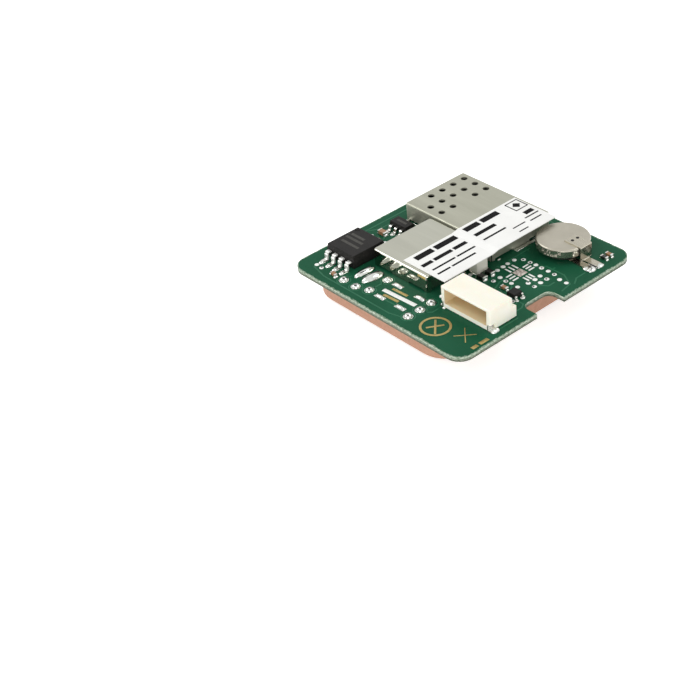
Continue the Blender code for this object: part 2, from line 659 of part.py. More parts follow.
def make_regulator(parent, resin, tin):
    """The small five-lead regulator: three leads in front, two behind."""
    group = add_empty("regulator", (REGULATOR_X, REGULATOR_Y, PART_Z), parent=parent)
    bm = moulded_body(REGULATOR_LENGTH, REGULATOR_WIDTH, REGULATOR_HEIGHT, MOULD_STANDOFF)
    add_solid("regulator_chip", bm, resin, group)
    waist = (MOULD_STANDOFF + REGULATOR_HEIGHT) / 2
    front, back = math.radians(-90), math.radians(90)
    half = REGULATOR_WIDTH / 2
    places = [(number * REGULATOR_PITCH, -half, front) for number in (-1, 0, 1)]
    places += [(number * REGULATOR_PITCH, half, back) for number in (-1, 1)]
    add_leads("regulator_lead", places, REGULATOR_LEAD_REACH, REGULATOR_LEAD_WIDTH, waist, tin, group)


def make_transistor(parent, resin, tin):
    """The switching transistor: two leads to the right, one to the left."""
    group = add_empty("transistor", (TRANSISTOR_X, TRANSISTOR_Y, PART_Z), parent=parent)
    bm = moulded_body(TRANSISTOR_LENGTH, TRANSISTOR_WIDTH, TRANSISTOR_HEIGHT, MOULD_STANDOFF)
    add_solid("switch_transistor", bm, resin, group)
    waist = (MOULD_STANDOFF + TRANSISTOR_HEIGHT) / 2
    half = TRANSISTOR_LENGTH / 2
    places = [(half, side * TRANSISTOR_PITCH / 2, 0) for side in (-1, 1)] + [(-half, 0, math.pi)]
    add_leads("transistor_lead", places, TRANSISTOR_LEAD_REACH, TRANSISTOR_LEAD_WIDTH, waist, tin, group)


def make_connector(parent, nylon, tin):
    """Housing with a wide mouth, six contacts through its back wall, and a soldered anchor at each end."""
    group = add_empty("connector", (CONNECTOR_X, CONNECTOR_FRONT_Y, PART_Z), parent=parent)
    half = (CONTACTS - 1) * CONTACT_PITCH / 2 + CONNECTOR_END
    back = CONNECTOR_DEPTH + WING_LENGTH
    side_view = [(0, 0), (back, 0), (back, WING_HEIGHT), (CONNECTOR_DEPTH, WING_HEIGHT)]
    side_view += [(CONNECTOR_DEPTH, CONNECTOR_HEIGHT), (0, CONNECTOR_HEIGHT)]
    bm = prism(side_view, -half, half)
    upright = Matrix(((0, 0, 1), (1, 0, 0), (0, 1, 0)))
    bmesh.ops.rotate(bm, cent=(0, 0, 0), matrix=upright, verts=bm.verts)
    housing = add_solid("connector_housing", bm, nylon, group)
    edges = housing.modifiers.new("Edges", "BEVEL")
    edges.width = CONNECTOR_EDGE
    edges.segments = 1

    mouth = bmesh.new()
    inside = half - CONNECTOR_SIDE_WALL
    low = (-inside, -CUT_OVERSHOOT, CONNECTOR_FLOOR)
    add_box(mouth, low, (inside, CONNECTOR_MOUTH, CONNECTOR_HEIGHT - CONNECTOR_ROOF))
    cut(housing, mouth, "connector_mouth")
    tail_room = bmesh.new()
    between = half - WING_WIDTH
    low = (-between, CONNECTOR_DEPTH, -CUT_OVERSHOOT)
    add_box(tail_room, low, (between, back + CUT_OVERSHOOT, WING_HEIGHT + CUT_OVERSHOOT))
    cut(housing, tail_room, "connector_tail_room")

    slots = bmesh.new()
    sockets = bmesh.new()
    slot_half = CONTACT_WIDTH / 2 + CONTACT_SLACK
    slot_rise = CONTACT_THICKNESS / 2 + CONTACT_SLACK
    for number in range(CONTACTS):
        x = (number - (CONTACTS - 1) / 2) * CONTACT_PITCH
        low = (x - slot_half, CONNECTOR_MOUTH - CUT_OVERSHOOT, CONTACT_LEVEL - slot_rise)
        high = (x + slot_half, CONNECTOR_DEPTH + CUT_OVERSHOOT, CONTACT_LEVEL + slot_rise)
        add_box(slots, low, high)
        foot = CONTACT_THICKNESS / 2
        tail = CONNECTOR_DEPTH + CONTACT_THICKNESS
        tip = CONNECTOR_MOUTH - CONTACT_TIP
        path = [(tip, CONTACT_LEVEL), (tail, CONTACT_LEVEL), (tail, foot), (tail + CONTACT_FOOT, foot)]
        name = f"connector_contact_{number + 1}"
        quarter_turn = math.radians(90)
        bend = CONTACT_THICKNESS
        sheet_strip(name, path, CONTACT_WIDTH, CONTACT_THICKNESS, bend, tin, group, (x, 0, 0), quarter_turn)
    wall = half - ANCHOR_ROOM
    room_back = ANCHOR_Y + ANCHOR_WIDTH / 2 + CONTACT_SLACK
    room_top = ANCHOR_HEIGHT + CONTACT_SLACK
    for side, name, turn in ((-1, "left", math.pi), (1, "right", 0)):
        left, right = sorted((side * wall, side * (half + CUT_OVERSHOOT)))
        add_box(sockets, (left, -CUT_OVERSHOOT, -CUT_OVERSHOOT), (right, room_back, room_top))
        foot = ANCHOR_THICKNESS / 2
        path = [(0, ANCHOR_HEIGHT), (0, foot), (ANCHOR_FOOT, foot)]
        place = (side * (wall + CONTACT_SLACK + ANCHOR_THICKNESS / 2), ANCHOR_Y, 0)
        label = f"connector_anchor_{name}"
        sheet_strip(label, path, ANCHOR_WIDTH, ANCHOR_THICKNESS, ANCHOR_THICKNESS, tin, group, place, turn)
    cut(housing, slots, "connector_contact_slots")
    cut(housing, sockets, "connector_anchor_slots")


def make_cell(parent, steel, rubber, tin):
    """The backup cell stands on its lower tab, cup upwards, and its upper tab folds down to the board."""
    group = add_empty("backup_cell", (CELL_X, CELL_Y, PART_Z), parent=parent)
    cap_low = TAB_THICKNESS + BOND_FILM
    cap_high = cap_low + CELL_CAP_HEIGHT
    cap = CELL_CAP_DIAMETER / 2
    edge = CELL_EDGE / 2
    profile = [(0, cap_low)] + arc((cap - edge, cap_low + edge), edge, 270, 360, 3)
    profile += [(cap, cap_high), (0, cap_high)]
    add_solid("cell_cap", turned(profile, 40), steel, group, smooth=True)

    gasket_in = cap + BOND_FILM
    gasket_out = gasket_in + GASKET_WALL
    gasket_low = cap_high - GASKET_HEIGHT
    ring = [(gasket_in, gasket_low), (gasket_out, gasket_low), (gasket_out, cap_high), (gasket_in, cap_high)]
    add_solid("cell_gasket", turned(ring, 40, closed=True), rubber, group, smooth=True)

    low = cap_high + BOND_FILM
    high = low + CELL_CUP_HEIGHT
    outer = CELL_DIAMETER / 2
    cup = [(0, low), (outer - CELL_CRIMP, low)]
    cup += arc((outer - CELL_EDGE, low + CELL_CRIMP), CELL_EDGE, 330, 360, 2)
    cup += arc((outer - CELL_EDGE, high - CELL_EDGE), CELL_EDGE, 0, 90, 4)
    cup.append((0, high))
    add_solid("cell_cup", turned(cup, 48), steel, group, smooth=True)

    upper = high + BOND_FILM + TAB_THICKNESS / 2
    plate = outer + BOND_FILM + TAB_THICKNESS
    foot = TAB_THICKNESS / 2
    path = [(plate - TAB_OVERLAP, upper), (plate, upper), (plate, foot), (plate + TAB_FOOT_LENGTH, foot)]
    bend = 1.5 * TAB_THICKNESS
    tab = sheet_strip("cell_upper_tab", path, TAB_WIDTH, TAB_THICKNESS, bend, tin, group, (0, TAB_SHIFT, 0))
    for vert in tab.data.vertices:
        if vert.co.x > plate + TAB_THICKNESS / 2:
            vert.co.y *= TAB_FOOT_WIDTH / TAB_WIDTH

    inner = -cap + 2 * CELL_EDGE
    path = [(inner, foot), (MINUS_TAB_REACH, foot)]
    place = (0, MINUS_TAB_Y, 0)
    sheet_strip("cell_lower_tab", path, MINUS_TAB_WIDTH, TAB_THICKNESS, bend, tin, group, place)


def make_chips(parent, ceramic, resin, lens):
    """Capacitors, resistors and the inductor on both faces, and the signal lamp at the corner underneath."""
    upper = {
        "memory_capacitor": (MEDIUM_CHIP, -11.65, -2.4, 0, ceramic),
        "lead_capacitor": (SMALL_CHIP, -9.05, -12.95, -14, ceramic),
        "port_capacitor": (SMALL_CHIP, 8.55, -1.1, 0, ceramic),
        "port_resistor": (MEDIUM_CHIP, 4.95, 0.05, 0, resin),
        "bias_resistor": (MEDIUM_CHIP, 5.0, -1.3, 0, resin),
        "cell_capacitor": (SMALL_CHIP, 12.95, 12.75, 0, ceramic),
        "cell_resistor": (SMALL_CHIP, 12.95, 11.85, 0, resin),
        "supply_inductor": (INDUCTOR, 3.4, -0.25, 90, ceramic),
    }
    for name, (size, x, y, turn, material) in upper.items():
        chip_part(name, size, CHIP_CAP, material, parent, (x * MM, y * MM, PART_Z), math.radians(turn))

    lower = {
        "lamp_resistor": (SMALL_CHIP, LAMP_RESISTOR_PLACE, 0),
        "lamp_capacitor": (SMALL_CHIP, LAMP_CAPACITOR_PLACE, 0),
        "lamp_driver": (LARGE_CHIP, LAMP_DRIVER_PLACE, 90),
    }
    for name, (size, (x, y), turn) in lower.items():
        place = (PATCH_EDGE_X + x, PATCH_EDGE_Y + y, UNDER_Z - size[2])
        chip_part(name, size, CHIP_CAP, resin, parent, place, math.radians(turn))

    length, width, height = LED_SIZE
    bm = bmesh.new()
    add_box(bm, (-length / 2, -width / 2, -LED_SHELF), (length / 2, width / 2, 0))
    window = next(face for face in bm.faces if face.normal.z < -0.9)
    bmesh.ops.inset_region(bm, faces=[window], thickness=BOND_FILM, use_even_offset=True)
    for vert in window.verts:
        vert.co.x *= 1 - 2 * CHIP_CAP / length
    lowered = bmesh.ops.extrude_face_region(bm, geom=[window])
    bmesh.ops.delete(bm, geom=[window], context="FACES_ONLY")
    bmesh.ops.translate(bm, vec=(0, 0, LED_SHELF - height), verts=moved_verts(lowered["geom"]))
    place = (PATCH_EDGE_X + LAMP_PLACE[0], PATCH_EDGE_Y + LAMP_PLACE[1], UNDER_Z)
    add_solid("signal_lamp", bm, lens, parent, place)


def main():
    for item in list(bpy.data.objects):
        bpy.data.objects.remove(item, do_unlink=True)
    green = finish("solder_mask", "2D644A", 0.35)
    pink = finish("fired_ceramic", "C99475", 0.6)
    silver = finish("fired_silver", "ECEBE6", 0.4, 0.6)
    foam = finish("black_foam_tape", "1A1A1A", 0.8)
    solder = finish("solder", "B9BAB4", 0.25, 1.0)
    tin = finish("tinned_steel", "B9BAAE", 0.3, 1.0)
    paper = finish("label_paper", "F6F6F4", 0.6)
    resin = finish("moulded_resin", "2D2C2A", 0.5)
    tan = finish("chip_ceramic", "A98468", 0.5)
    nylon = finish("cream_nylon", "F6F1DE", 0.5)
    steel = finish("cell_steel", "BDBBB0", 0.25, 1.0)
    rubber = finish("cell_gasket", "151515", 0.7)
    lens = finish("lamp_lens", "D8C25A", 0.3)

    root = add_empty("receiver_module", (0, 0, 0))
    make_board(root, green)
    make_antenna(root, pink, silver, foam, solder)
    make_cans(root, tin)
    make_label(root, paper)
    make_hidden_chips(root, resin, tan)
    make_memory(root, resin, tin)
    make_regulator(root, resin, tin)
    make_transistor(root, resin, tin)
    make_connector(root, nylon, tin)
    make_cell(root, steel, rubber, tin)
    make_chips(root, tan, resin, lens)


main()
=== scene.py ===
import math
import random

import bmesh
import bpy
from mathutils import Matrix, Vector


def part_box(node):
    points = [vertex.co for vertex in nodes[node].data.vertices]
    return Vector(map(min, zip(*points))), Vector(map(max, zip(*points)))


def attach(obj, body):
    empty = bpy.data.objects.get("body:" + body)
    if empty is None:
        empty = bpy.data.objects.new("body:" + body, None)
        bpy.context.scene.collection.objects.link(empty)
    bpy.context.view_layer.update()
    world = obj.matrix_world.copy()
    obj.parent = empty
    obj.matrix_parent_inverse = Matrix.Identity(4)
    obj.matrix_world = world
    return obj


mm = 0.001
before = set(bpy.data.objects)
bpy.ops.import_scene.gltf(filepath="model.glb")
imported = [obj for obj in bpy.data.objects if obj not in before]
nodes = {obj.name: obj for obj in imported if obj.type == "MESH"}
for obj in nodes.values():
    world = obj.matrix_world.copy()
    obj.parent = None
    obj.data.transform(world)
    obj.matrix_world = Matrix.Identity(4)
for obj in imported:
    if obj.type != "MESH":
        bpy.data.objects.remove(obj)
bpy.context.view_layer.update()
draw = random.Random(7)

boardLow, boardTop = (corner.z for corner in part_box("circuit_board"))
print("frame loaded:", len(nodes), "nodes")

# how finely pieces are made; a rounding stops just short of half of the thinnest side
meshRules = {
    "mergeMm": 0.0001, "sharpAngle": 40, "edgeShare": 0.49, "domeRows": 8, "spinAngle": 9, "fewestSpins": 6}


# closes a piece, turns its faces outwards and hands it to the frame
def addPiece(name, bm, material):
    bmesh.ops.remove_doubles(bm, verts=bm.verts, dist=meshRules["mergeMm"] * mm)
    bmesh.ops.recalc_face_normals(bm, faces=bm.faces)
    mesh = bpy.data.meshes.new(name)
    bm.to_mesh(mesh)
    bm.free()
    mesh.materials.append(material)
    mesh.shade_smooth()
    mesh.set_sharp_from_angle(angle=math.radians(meshRules["sharpAngle"]))
    piece = bpy.data.objects.new(name, mesh)
    bpy.context.scene.collection.objects.link(piece)
    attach(piece, "root")


# a soft-edged block: solder, pads and printed fields are all made of these, in mm
def pillow(bm, centre, size, rounding, turn=0, segments=3, level=boardTop):
    made = bmesh.ops.create_cube(bm, size=1)
    bmesh.ops.scale(bm, vec=[side * mm for side in size], verts=made["verts"])
    edges = list({edge for vert in made["verts"] for edge in vert.link_edges})
    offset = min(rounding, meshRules["edgeShare"] * min(size)) * mm
    rounded = bmesh.ops.bevel(
        bm, geom=edges, offset=offset, offset_type="OFFSET", affect="EDGES",
        segments=segments, profile=0.5, material=-1)
    verts = list({vert for face in rounded["faces"] for vert in face.verts})
    place = Matrix.Translation((centre[0] * mm, centre[1] * mm, level + centre[2] * mm))
    bmesh.ops.transform(bm, matrix=place @ Matrix.Rotation(math.radians(turn), 4, "Z"), verts=verts)


# a flattened ball; half of it is hidden in the face it sits on
def dome(bm, x, y, halfX, halfY, height, turn=0, level=boardTop, detail=14):
    made = bmesh.ops.create_uvsphere(bm, u_segments=detail, v_segments=meshRules["domeRows"], radius=1)
    place = Matrix.Translation((x * mm, y * mm, level)) @ Matrix.Rotation(math.radians(turn), 4, "Z")
    size = Matrix.Diagonal((halfX * mm, halfY * mm, height * mm, 1))
    bmesh.ops.transform(bm, matrix=place @ size, verts=made["verts"])


def disc(bm, x, y, radius, thickness, level=boardTop, segments=20):
    place = Matrix.Translation((x * mm, y * mm, level + thickness * mm / 2))
    bmesh.ops.create_cone(
        bm, cap_ends=True, segments=segments, radius1=radius * mm, radius2=radius * mm,
        depth=thickness * mm, matrix=place)


# a flat ring or part of one, spun from its cross-section
def ring(bm, x, y, radius, width, thickness, level=boardTop, start=0, sweep=360):
    first = math.radians(start)
    corners = []
    for out, up in ((-0.5, 0), (0.5, 0), (0.5, 1), (-0.5, 1)):
        reach = (radius + out * width) * mm
        across, along = reach * math.cos(first), reach * math.sin(first)
        corners.append(bm.verts.new((x * mm + across, y * mm + along, level + up * thickness * mm)))
    edges = [bm.edges.new((a, b)) for a, b in zip(corners, corners[1:] + corners[:1])]
    full = sweep >= 360
    spun = bmesh.ops.spin(
        bm, geom=corners + edges, cent=(x * mm, y * mm, 0), axis=(0, 0, 1), angle=math.radians(sweep),
        steps=max(meshRules["fewestSpins"], int(sweep / meshRules["spinAngle"])), use_merge=full)
    if not full:
        last = [item for item in spun["geom_last"] if isinstance(item, bmesh.types.BMEdge)]
        bmesh.ops.contextual_create(bm, geom=edges)
        bmesh.ops.contextual_create(bm, geom=last)


def linear(hexCode):
    values = [int(hexCode[at:at + 2], 16) / 255 for at in (0, 2, 4)]
    return [v / 12.92 if v <= 0.04045 else ((v + 0.055) / 1.055) ** 2.4 for v in values] + [1]


# inputs are a list from the first socket on, or a dictionary; a socket among them is linked
def addNode(tree, kind, inputs=(), **settings):
    node = tree.nodes.new("ShaderNode" + kind)
    for name, value in settings.items():
        setattr(node, name, value)
    for socket, value in inputs.items() if isinstance(inputs, dict) else enumerate(inputs):
        if isinstance(value, bpy.types.NodeSocket):
            tree.links.new(value, node.inputs[socket])
        else:
            node.inputs[socket].default_value = value
    return node.outputs


noiseSpan = (0.3, 0.7)  # where most of a noise lies


def newSurface(name, metallic=0, **constants):
    material = bpy.data.materials.new(name)
    material.use_nodes = True
    tree = material.node_tree
    shader = tree.nodes["Principled BSDF"]
    shader.inputs["Metallic"].default_value = metallic
    for socket, value in constants.items():
        shader.inputs[socket].default_value = value
    return material, tree, shader, addNode(tree, "TexCoord")["Object"]


# hands a finish to its shader, with its fine grain as relief
def joinSurface(tree, shader, tint, roughness, height, depthMm):
    bump = addNode(tree, "Bump", {"Height": height, "Distance": depthMm * mm})[0]
    for socket, value in {"Base Color": tint, "Roughness": roughness, "Normal": bump}.items():
        tree.links.new(value, shader.inputs[socket])


# most finishes: two close colours in patches, a roughness that wanders, and a fine surface grain
def plainFinish(name, look):
    material, tree, shader, spot = newSurface(name, look.get("metallic", 0), **look.get("sockets", {}))
    if "stretch" in look:  # grain drawn out along the way the sheet was rolled
        spot = addNode(tree, "Mapping", {"Vector": spot, "Scale": look["stretch"]})[0]
    patches = addNode(tree, "TexNoise", {"Vector": spot, "Scale": 1 / (look["patchMm"] * mm), "Detail": 4})[0]
    share = addNode(tree, "MapRange", [patches, *noiseSpan, 0, 1])[0]
    first, second = look["colours"]
    tint = addNode(tree, "Mix", {0: share, 6: linear(first), 7: linear(second)}, data_type="RGBA")[2]
    fine = addNode(tree, "TexNoise", {"Vector": spot, "Scale": 1 / (look["grainMm"] * mm), "Detail": 2})[0]
    roughness = addNode(tree, "MapRange", [fine, *noiseSpan, *look["roughness"]])[0]
    joinSurface(tree, shader, tint, roughness, fine, look["depthMm"])
    return material


def dress(material, *names):
    for name in names:
        node = nodes[name]
        node.data.materials.clear()
        node.data.materials.append(material)


def named(*starts):
    return [name for name in sorted(nodes) if name.startswith(starts)]


# the camera, solved from the board's corners and edges
view = {"focalPx": 1448.5, "framePx": 679, "yaw": 52.32, "pitch": 35.43, "roll": -5.64,
        "acrossMm": 14.98, "upMm": 9.91, "awayMm": 179.53, "sensorMm": 36, "seesFrom": 0.005, "seesTo": 5}


def placeCamera():
    yaw, pitch, roll = (math.radians(view[key]) for key in ("yaw", "pitch", "roll"))
    back = Vector((math.sin(yaw) * math.cos(pitch), -math.cos(yaw) * math.cos(pitch), math.sin(pitch)))
    across = Vector((math.cos(yaw), math.sin(yaw), 0))
    up = back.cross(across)
    rolledAcross = math.cos(roll) * across + math.sin(roll) * up
    rolledUp = -math.sin(roll) * across + math.cos(roll) * up
    place = -view["acrossMm"] * rolledAcross - view["upMm"] * rolledUp + view["awayMm"] * back
    data = bpy.data.cameras.new("camera")
    data.sensor_width = view["sensorMm"]
    data.lens = view["focalPx"] * view["sensorMm"] / view["framePx"]
    data.clip_start, data.clip_end = view["seesFrom"], view["seesTo"]
    camera = bpy.data.objects.new("camera", data)
    turn = Matrix((rolledAcross, rolledUp, back)).transposed().to_4x4()
    camera.matrix_world = Matrix.Translation(place * mm + Vector((0, 0, boardTop))) @ turn
    bpy.context.scene.collection.objects.link(camera)
    bpy.context.scene.camera = camera


placeCamera()

lampAim = Vector((0, 0, 5))  # mm
lamps = {
    # name: (place in mm, size in mm, power in W)
    "keyLamp": ((-150, -90, 160), 120, 0.17),
    "backLamp": ((60, 120, 200), 110, 0.1),
    "fillLamp": ((140, -170, 60), 120, 0.19),
}

for lampName, (place, size, power) in lamps.items():
    data = bpy.data.lights.new(lampName, "AREA")
    data.energy, data.size = power, size * mm
    lamp = bpy.data.objects.new(lampName, data)
    lamp.location = Vector(place) * mm
    lamp.rotation_euler = (lampAim - Vector(place)).to_track_quat("-Z", "Y").to_euler()
    bpy.context.scene.collection.objects.link(lamp)


# 1 for what the camera, a reflection or clear material sees, 0 for light that falls on the object
def seenRays(tree):
    path = addNode(tree, "LightPath")
    seen = addNode(tree, "Math", [path["Is Camera Ray"], path["Is Glossy Ray"]], operation="MAXIMUM")[0]
    return addNode(tree, "Math", [seen, path["Is Transmission Ray"]], operation="MAXIMUM")[0]


# a pale room: white where it is seen, dimmer where it lights the object
room = {"white": "FFFFFF", "light": 0.62, "seen": 1.0,
        "floorColour": "F2F2F0", "floorRoughness": 0.7, "floorHalfMm": 1500, "floorGlow": 0.66}

world = bpy.data.worlds.new("paleRoom")
bpy.context.scene.world = world
world.use_nodes = True
sky, skySeen = world.node_tree.nodes["Background"], seenRays(world.node_tree)
skyLevel = addNode(world.node_tree, "MapRange", [skySeen, 0, 1, room["light"], room["seen"]])[0]
sky.inputs["Color"].default_value = linear(room["white"])
world.node_tree.links.new(skyLevel, sky.inputs["Strength"])

bm = bmesh.new()
bmesh.ops.create_grid(bm, x_segments=1, y_segments=1, size=room["floorHalfMm"] * mm)
floorData = bpy.data.meshes.new("floor")
bm.to_mesh(floorData)
bm.free()
floor = bpy.data.objects.new("floor", floorData)
bpy.context.scene.collection.objects.link(floor)
floorPaint, floorTree, floorShader, _ = newSurface("paleFloor", Roughness=room["floorRoughness"])
floorShader.inputs["Base Color"].default_value = linear(room["floorColour"])
floorShader.inputs["Emission Color"].default_value = linear(room["white"])
floorGlow = addNode(floorTree, "Math", [seenRays(floorTree), room["floorGlow"]], operation="MULTIPLY")[0]
floorTree.links.new(floorGlow, floorShader.inputs["Emission Strength"])
floorData.materials.append(floorPaint)

bpy.context.scene.view_settings.view_transform = "Standard"
print("camera, lamps and floor are in place")


# tin-plated cold-rolled sheet: semi-bright, rolled along X, a little cloudy
rolledTin = plainFinish("rolledTinplate", {
    "colours": ("B1B1A1", "A7A797"), "patchMm": 2.5, "grainMm": 0.25, "stretch": (0.15, 1.6, 1.6),
    "roughness": (0.36, 0.46), "depthMm": 0.0003, "metallic": 0.6})
# the same sheet bright-rolled: its walls mirror the pads in front of them
brightTin = plainFinish("brightTinplate", {
    "colours": ("BFBFB2", "B6B6A9"), "patchMm": 3.0, "grainMm": 0.3, "stretch": (0.15, 1.6, 1.6),
    "roughness": (0.06, 0.11), "depthMm": 0.0002, "metallic": 1})
# tin solder, reflowed: bright, rounded, nearly a mirror
reflowedSolder = plainFinish("reflowedSolder", {
    "colours": ("E4E6E2", "CFD1CB"), "patchMm": 0.7, "grainMm": 0.18,
    "roughness": (0.06, 0.16), "depthMm": 0.001, "metallic": 1})
# the same tin on dipped leads and on the anchors, clouded by flux: whiter, satin
dippedTin = plainFinish("dippedTin", {
    "colours": ("F4F4F0", "E6E7E2"), "patchMm": 0.5, "grainMm": 0.15,
    "roughness": (0.2, 0.32), "depthMm": 0.0008, "metallic": 0.5})
# hot-air levelled tin on bare pads and via rings: pale and duller than a joint, painted near-white with little
# metal, a painted highlight in place of the white the tin reflects
levelledTinPaintedHighlight = plainFinish("levelledTinPaintedHighlight", {
    "colours": ("FAFAF7", "EEEFEB"), "patchMm": 0.5, "grainMm": 0.12,
    "roughness": (0.3, 0.42), "depthMm": 0.003, "metallic": 0.15})
# tinned copper-alloy leads: duller than solder, stamped edges
tinnedLead = plainFinish("tinnedLead", {
    "colours": ("DADAD4", "C6C5BE"), "patchMm": 0.8, "grainMm": 0.1,
    "roughness": (0.18, 0.3), "depthMm": 0.001, "metallic": 1})
# moulded epoxy: charcoal, very fine matt
mouldedEpoxy = plainFinish("mouldedEpoxy", {
    "colours": ("211F1E", "1A1918"), "patchMm": 1.2, "grainMm": 0.06,
    "roughness": (0.42, 0.58), "depthMm": 0.003, "sockets": {"Specular IOR Level": 0.18}})
# burnt oxide on the spot welds: charcoal, matt
weldOxide = plainFinish("weldOxide", {
    "colours": ("211F1E", "1A1918"), "patchMm": 1.2, "grainMm": 0.06,
    "roughness": (0.42, 0.58), "depthMm": 0.003, "sockets": {"Specular IOR Level": 0.18}})
# fired microwave ceramic: salmon, dense, with a fine speckle
firedCeramic = plainFinish("firedCeramic", {
    "colours": ("D1A088", "C5957C"), "patchMm": 0.4, "grainMm": 0.09,
    "roughness": (0.45, 0.62), "depthMm": 0.004, "sockets": {"Specular IOR Level": 0.3}})
# fired silver paste: nearly white, chalky
firedSilver = plainFinish("firedSilver", {
    "colours": ("F4F3EF", "EBEAE5"), "patchMm": 1.8, "grainMm": 0.07,
    "roughness": (0.5, 0.62), "depthMm": 0.003, "metallic": 0.25})
# closed-cell foam tape: black, matt
foamTape = plainFinish("foamTape", {
    "colours": ("1A1918", "131312"), "patchMm": 0.9, "grainMm": 0.14,
    "roughness": (0.75, 0.9), "depthMm": 0.02})
# coated paper label: white, faint fibre
labelPaper = plainFinish("labelPaper", {
    "colours": ("F7F7F4", "F1F1EE"), "patchMm": 2.4, "grainMm": 0.12,
    "roughness": (0.48, 0.6), "depthMm": 0.0015, "sockets": {"Specular IOR Level": 0.2}})
# label ink: solid black, slightly satin
labelInk = plainFinish("labelInk", {
    "colours": ("101011", "171718"), "patchMm": 0.6, "grainMm": 0.08,
    "roughness": (0.5, 0.6), "depthMm": 0.001, "sockets": {"Specular IOR Level": 0.06}})
# nickel-plated strip: warm, bright
nickelStrip = plainFinish("nickelStrip", {
    "colours": ("BDB8A9", "B3AE9F"), "patchMm": 1.0, "grainMm": 0.15, "stretch": (0.3, 1.5, 1.5),
    "roughness": (0.2, 0.3), "depthMm": 0.0006, "metallic": 1})
# moulded cell gasket: black, satin
gasketNylon = plainFinish("gasketNylon", {
    "colours": ("1B1A19", "161514"), "patchMm": 0.8, "grainMm": 0.1,
    "roughness": (0.5, 0.6), "depthMm": 0.002})
# gold flash over nickel on bare copper: pale gold
goldFlash = plainFinish("goldFlash", {
    "colours": ("BFAA70", "AB955C"), "patchMm": 0.5, "grainMm": 0.08,
    "roughness": (0.3, 0.45), "depthMm": 0.002, "metallic": 0.8})
# bare copper test points, dulled in air
bareCopper = plainFinish("bareCopper", {
    "colours": ("C6986F", "B5835A"), "patchMm": 0.4, "grainMm": 0.07,
    "roughness": (0.38, 0.55), "depthMm": 0.002, "metallic": 0.7})
# heat pad of the empty footprint: dull, grainy tin with copper showing through
dullTin = plainFinish("dullTin", {
    "colours": ("EDE4DB", "7C6A60"), "patchMm": 0.34, "grainMm": 0.12,
    "roughness": (0.4, 0.6), "depthMm": 0.01, "metallic": 0.4})
# copper track seen through solder mask: a shade lighter than the board
maskedCopper = plainFinish("maskedCopper", {
    "colours": ("286B4C", "216044"), "patchMm": 1.2, "grainMm": 0.12,
    "roughness": (0.3, 0.42), "depthMm": 0.001, "sockets": {"Specular IOR Level": 0.2}})
# screen-printed legend: pale, chalky
legendInk = plainFinish("legendInk", {
    "colours": ("D9DCCB", "C9CDBB"), "patchMm": 0.4, "grainMm": 0.08,
    "roughness": (0.5, 0.65), "depthMm": 0.002})
# ceramic package with a gold-coloured lid
packageCeramic = plainFinish("packageCeramic", {
    "colours": ("A98A66", "9C7D5B"), "patchMm": 0.7, "grainMm": 0.08,
    "roughness": (0.4, 0.55), "depthMm": 0.002})
# cast epoxy lens of the signal lamp: yellow, clear coat
castLens = plainFinish("castLens", {
    "colours": ("DCC04A", "CDB03C"), "patchMm": 0.5, "grainMm": 0.07,
    "roughness": (0.2, 0.3), "depthMm": 0.001, "sockets": {"Coat Weight": 0.5, "Coat Roughness": 0.1}})
# the choke's case, cast in white resin: satin
castCase = plainFinish("castResinCase", {
    "colours": ("FAF7EC", "F3EFE2"), "patchMm": 0.9, "grainMm": 0.1,
    "roughness": (0.4, 0.5), "depthMm": 0.002})
# painted shade and painted dark reflection around solder and in open via holes: brown-black, glassy
paintedShadeBrownBlack = plainFinish("paintedShadeBrownBlack", {
    "colours": ("1A1714", "100E0C"), "patchMm": 0.3, "grainMm": 0.06,
    "roughness": (0.2, 0.35), "depthMm": 0.001})
# ink marking on the epoxy: grey, matt
markingInk = plainFinish("markingInk", {
    "colours": ("4E4D49", "43423E"), "patchMm": 0.3, "grainMm": 0.05,
    "roughness": (0.5, 0.6), "depthMm": 0.001, "sockets": {"Specular IOR Level": 0.18}})

nylon = {
    "colours": ("FCF9EC", "FAF5E4"), "patchMm": 2.0, "grainMm": 0.12,
    "roughness": (0.42, 0.55), "depthMm": 0.002,
    "sockets": {"Subsurface Weight": 0.15, "Subsurface Scale": 0.0005, "Specular IOR Level": 0.3},
    # painted shade inside the mouth: its two colours, and how far towards the back it darkens
    "mouthPaintedShadeColours": ("F3E4BC", "DCC294"), "mouthShade": (0.45, 1.0),
    "mouthX": 9.58, "mouthHalfX": 3.47, "mouthY": (-8.66, -5.97), "mouthZ": (0.63, 2.67)}
